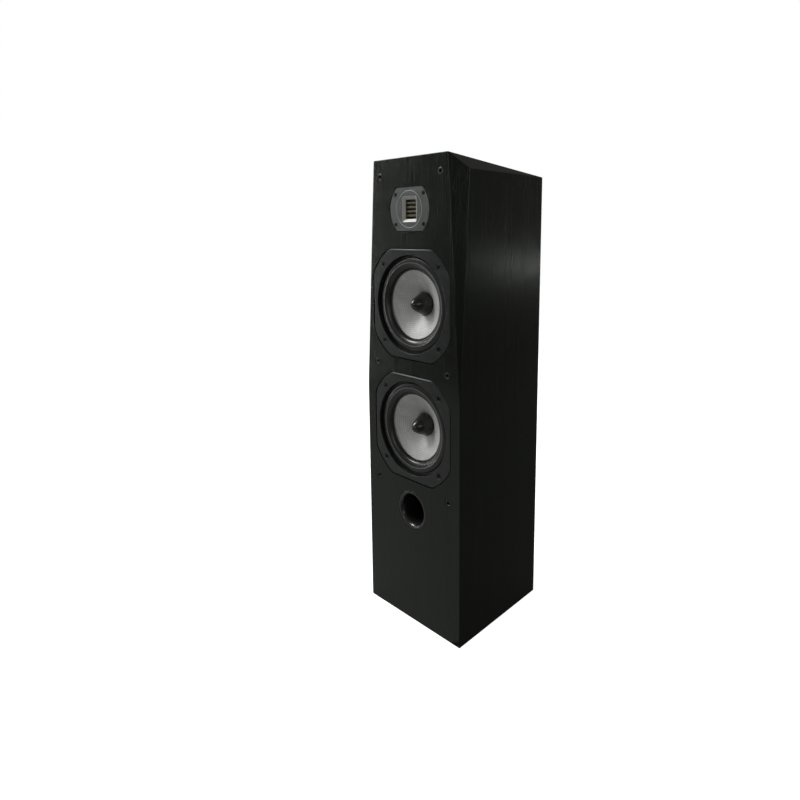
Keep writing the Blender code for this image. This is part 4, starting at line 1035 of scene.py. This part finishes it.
def make_sockets():
    """Cups that hold the grille's pegs, each with a funnelled bore."""
    floor = SOCKET_LENGTH - 0.002
    near_axis = 0.0001
    rings = fillet([
        (near_axis, floor), (SOCKET_BORE_RADIUS, floor), (SOCKET_BORE_RADIUS, 0.0011),
        (SOCKET_BORE_RADIUS + 0.0011, 0.0), (SOCKET_RADIUS - 0.0016, 0.0), (SOCKET_RADIUS, 0.0007),
        (SOCKET_RADIUS, SOCKET_LIP_THICKNESS), (SOCKET_BARREL_RADIUS, SOCKET_LIP_THICKNESS),
        (SOCKET_BARREL_RADIUS, SOCKET_LENGTH), (near_axis, SOCKET_LENGTH),
    ], 0.0005)
    rings = [(0, floor)] + rings + [(0, SOCKET_LENGTH)]
    for name in socket_names():
        at = centre_of(name)
        at.y = FRONT
        cup = revolve(rings, SMALL_SEGMENTS, closed=False)
        settle(add_piece(name + "_detail", cup, "black_plastic", at), ROOT, name)


# ---------------------------------------------------------------- terminals
def make_terminals():
    """The cup in the back panel, lofted from its floor out to the flange and back."""
    at = (0, BACK, centre_of("terminal_cup").z)
    floor = -TERMINAL_CUP_DEPTH
    flange_back = -TERMINAL_FLANGE_THICKNESS
    sections = []
    for depth, size, inset, corner in (
        (floor, TERMINAL_CUP, 0.0015, 0.0030), (floor + 0.0004, TERMINAL_CUP, 0.0004, 0.0038),
        (floor + 0.0015, TERMINAL_CUP, 0.0, 0.0040), (-0.0020, TERMINAL_CUP, 0.0, 0.0040),
        (-0.0006, TERMINAL_CUP, -0.0005, 0.0042), (0.0, TERMINAL_CUP, -0.0018, 0.0050),
        (0.0, TERMINAL_FLANGE, 0.0010, 0.0050), (-0.0004, TERMINAL_FLANGE, 0.0003, 0.0057),
        (-0.0010, TERMINAL_FLANGE, 0.0, 0.0060), (flange_back, TERMINAL_FLANGE, 0.0, 0.0060),
        (flange_back, TERMINAL_CUP, -TERMINAL_WALL, 0.0055),
        (floor - 0.0030, TERMINAL_CUP, -TERMINAL_WALL, 0.0055),
    ):
        sections.append(inset_section(depth, size, inset, corner))
    cup = add_piece("terminal_cup_detail", loft(sections), "black_plastic", at)
    tools = []
    for colour in ("black", "red"):
        spot = centre_of(f"{colour}_post_stud")
        spot.y = BACK + floor
        tools.append(bore_tool(0.0024, -0.010, 0.010, spot))
    carve(cup, tools)
    settle(cup, ROOT, "terminal_cup")
    for colour in ("black", "red"):
        make_post(colour, BACK + floor)


def ribbed(radius, ribs, depth):
    """A round radius with grip ribs."""
    def reach(angle):
        return radius - depth * (0.5 - 0.5 * math.cos(ribs * angle)) ** 2
    return reach


def stud_rings():
    """A stud through the cup's floor, with a collar and a threaded stem."""
    pitch = 0.0008
    thread = []
    for i in range(20):
        start = 0.0040 + pitch * i
        thread += [(STEM_RADIUS - 0.0004, start), (STEM_RADIUS, start + pitch / 2)]
    root = [(0, -0.018), (0.0017, -0.018), (0.0020, -0.0176), (0.0020, GAP)]
    collar = [(0.0062, GAP), (0.0065, 0.0006), (0.0065, 0.0032), (0.0062, 0.0035), (STEM_RADIUS, 0.0035)]
    tip = [(STEM_RADIUS, STEM_END - 0.0004), (STEM_RADIUS - 0.0006, STEM_END), (0, STEM_END)]
    return root + collar + thread + tip


def washer_rings():
    start, end = WASHER_DEPTHS
    bore = STEM_RADIUS + GAP
    edge = WASHER_RADIUS - 0.0003
    return [
        (bore, start), (edge, start), (WASHER_RADIUS, start + 0.0002),
        (WASHER_RADIUS, end - 0.0002), (edge, end), (bore, end),
    ]


def knob_rings():
    """A knob with a plain band, a ribbed grip and a rounded end."""
    start = KNOB_START
    end = KNOB_START + KNOB_LENGTH
    radius = KNOB_RADIUS
    bore = STEM_RADIUS + GAP
    grip = ribbed(radius, KNOB_RIB_COUNT, 0.0006)
    band = [
        (bore, start), (radius - 0.0012, start), (radius - 0.0003, start + 0.0003),
        (radius, start + 0.0010), (radius, start + 0.0022),
    ]
    grip_part = [(grip, start + 0.0026), (grip, end - 0.0020)]
    end_part = [
        (radius - 0.0007, end - 0.0012), (radius - 0.0012, end - 0.0004), (radius - 0.0020, end),
        (STEM_RADIUS + 0.0016, end), (STEM_RADIUS + 0.0009, end - 0.0006), (bore, end - 0.0012),
    ]
    return band + grip_part + end_part


def make_post(colour, base):
    """A binding post: threaded stud, captive washer and ribbed knob."""
    at = centre_of(f"{colour}_post_stud")
    at.y = base
    stud = revolve(stud_rings(), SMALL_SEGMENTS, closed=False)
    settle(add_piece(f"{colour}_stud_detail", stud, "steel", at), ROOT, f"{colour}_post_stud")
    washer = revolve(washer_rings(), SMALL_SEGMENTS)
    settle(add_piece(f"{colour}_washer_detail", washer, "steel", at), f"{colour}_washer",
           f"{colour}_post_washer")
    knob = revolve(knob_rings(), KNOB_RIB_COUNT * 6)
    settle(add_piece(f"{colour}_knob_detail", knob, f"{colour}_plastic", at), f"{colour}_knob",
           f"{colour}_post_knob")


# ---------------------------------------------------------------- CAD nodes that stay
def dress_nodes():
    """Gives every CAD node that stays in view the finish of its record slot."""
    for row in frame["record"]["materials"]:
        for name in row.get("nodes", []):
            held = frame["nodes"].get(name)
            if held is None:
                continue
            for slot in held.material_slots:
                slot.material = FINISHES[row["slot"]]


# ---------------------------------------------------------------- studio
ROOM_LIGHT = 0.16
FLOOR_GLOW = 0.92
CAMERA_PLACE = (0.8246, -0.8789, 0.8061)
CAMERA_YAW = 0.7137
CAMERA_PITCH = 0.1394
CAMERA_ROLL = 0.0063


def make_camera():
    """The camera stands at the right front, a little above the middle of the cabinet."""
    data = bpy.data.cameras.new("camera")
    made = bpy.data.objects.new("camera", data)
    bpy.context.scene.collection.objects.link(made)
    yaw, pitch, roll = CAMERA_YAW, CAMERA_PITCH, CAMERA_ROLL
    ahead = Vector((-math.sin(yaw) * math.cos(pitch), math.cos(yaw) * math.cos(pitch), -math.sin(pitch)))
    right = Vector((math.cos(yaw), math.sin(yaw), 0))
    above = right.cross(ahead)
    tilted_right = right * math.cos(roll) + above * math.sin(roll)
    tilted_up = above * math.cos(roll) - right * math.sin(roll)
    turn = Matrix((tilted_right, tilted_up, -ahead)).transposed().to_4x4()
    made.matrix_world = Matrix.Translation(CAMERA_PLACE) @ turn
    data.sensor_width = 36
    data.lens = 25.313
    data.shift_x = -0.0951
    data.shift_y = -0.1006
    data.clip_start = 0.01
    data.clip_end = 100
    bpy.context.scene.camera = made


def soft_light(name, position, target, size, power):
    """A rectangular soft light that points at a target and can't be seen itself."""
    data = bpy.data.lights.new(name, "AREA")
    data.shape = "RECTANGLE"
    data.size, data.size_y = size
    data.energy = power
    made = bpy.data.objects.new(name, data)
    bpy.context.scene.collection.objects.link(made)
    made.location = position
    made.rotation_euler = (Vector(target) - Vector(position)).to_track_quat("-Z", "Y").to_euler()
    made.visible_camera = False


def stage_piece(name, shape, colour, glow, seen, location=(0, 0, 0)):
    """A studio surface. One that is seen shows only to the camera, and one that isn't
    shows only in reflections and as bounced light."""
    mesh = bpy.data.meshes.new(name)
    shape.to_mesh(mesh)
    shape.free()
    finish, tree, shader = new_finish(name, Roughness=0.9, Specular_IOR_Level=0.1)
    shader.inputs["Base Color"].default_value = (*colour, 1)
    shader.inputs["Emission Color"].default_value = (1, 1, 1, 1)
    shader.inputs["Emission Strength"].default_value = glow
    mesh.materials.append(finish)
    made = bpy.data.objects.new(name, mesh)
    made.location = location
    bpy.context.scene.collection.objects.link(made)
    made.visible_camera = seen
    made.visible_diffuse = not seen
    made.visible_glossy = not seen
    made.visible_transmission = not seen


def disc(radius):
    shape = bmesh.new()
    bmesh.ops.create_circle(shape, cap_ends=True, segments=96, radius=radius)
    return shape


def dome(radius):
    shape = bmesh.new()
    bmesh.ops.create_uvsphere(shape, u_segments=64, v_segments=32, radius=radius)
    return shape


def make_studio():
    """A white room to the camera, and a dim one to the lacquer, with soft lights."""
    stage_piece("floor", disc(9.0), (0.9, 0.9, 0.9), FLOOR_GLOW, seen=True, location=(0, 0, -0.0005))
    stage_piece("ground", disc(9.0), (0.50, 0.51, 0.48), 0.02, seen=False, location=(0, 0, -0.0020))
    # A glowing patch of the hidden ground in front of the cabinet: a painted pool of light that the lower
    # front reflects.
    stage_piece("ground_light_pool", disc(1.02), (0.86, 0.88, 0.82), 0.20, seen=False,
                location=(-0.70, -0.75, -0.0010))
    stage_piece("backdrop", dome(12.0), (0, 0, 0), 1.0, seen=True)

    world = bpy.data.worlds.new("studio")
    bpy.context.scene.world = world
    world.use_nodes = True
    background = world.node_tree.nodes["Background"]
    background.inputs["Color"].default_value = (0.98, 1.0, 0.95, 1)
    background.inputs["Strength"].default_value = ROOM_LIGHT

    front = (0, 0, 0.6)
    soft_light("key", (-1.65, -0.95, 2.15), front, size=(0.9, 0.9), power=38)
    soft_light("strip", (-1.95, -0.95, 0.75), (0, 0, 0.65), size=(0.12, 1.5), power=6)
    soft_light("fill", (0.40, -2.30, 1.10), front, size=(0.9, 0.9), power=4)
    soft_light("window", (1.48, 1.93, 0.66), (0.13, 0.06, 0.75), size=(0.12, 0.07), power=0.40)
    soft_light("glint", (2.30, -1.35, 1.25), (0, 0, 0.65), size=(0.60, 0.45), power=3)
    soft_light("back", (-0.25, 2.60, 0.85), (-0.25, 0, 0.75), size=(1.5, 1.7), power=20)
    for side in (-1, 1):
        soft_light("side", (2.40 * side, 0.35, 0.85), (0, 0.35, 0.75), size=(1.1, 1.7), power=3)
    bpy.context.scene.view_settings.view_transform = "Standard"


make_camera()
make_cabinet()
for which in ("upper", "lower"):
    make_woofer(which)
make_tweeter()
make_port()
make_sockets()
make_terminals()
dress_nodes()
make_studio()
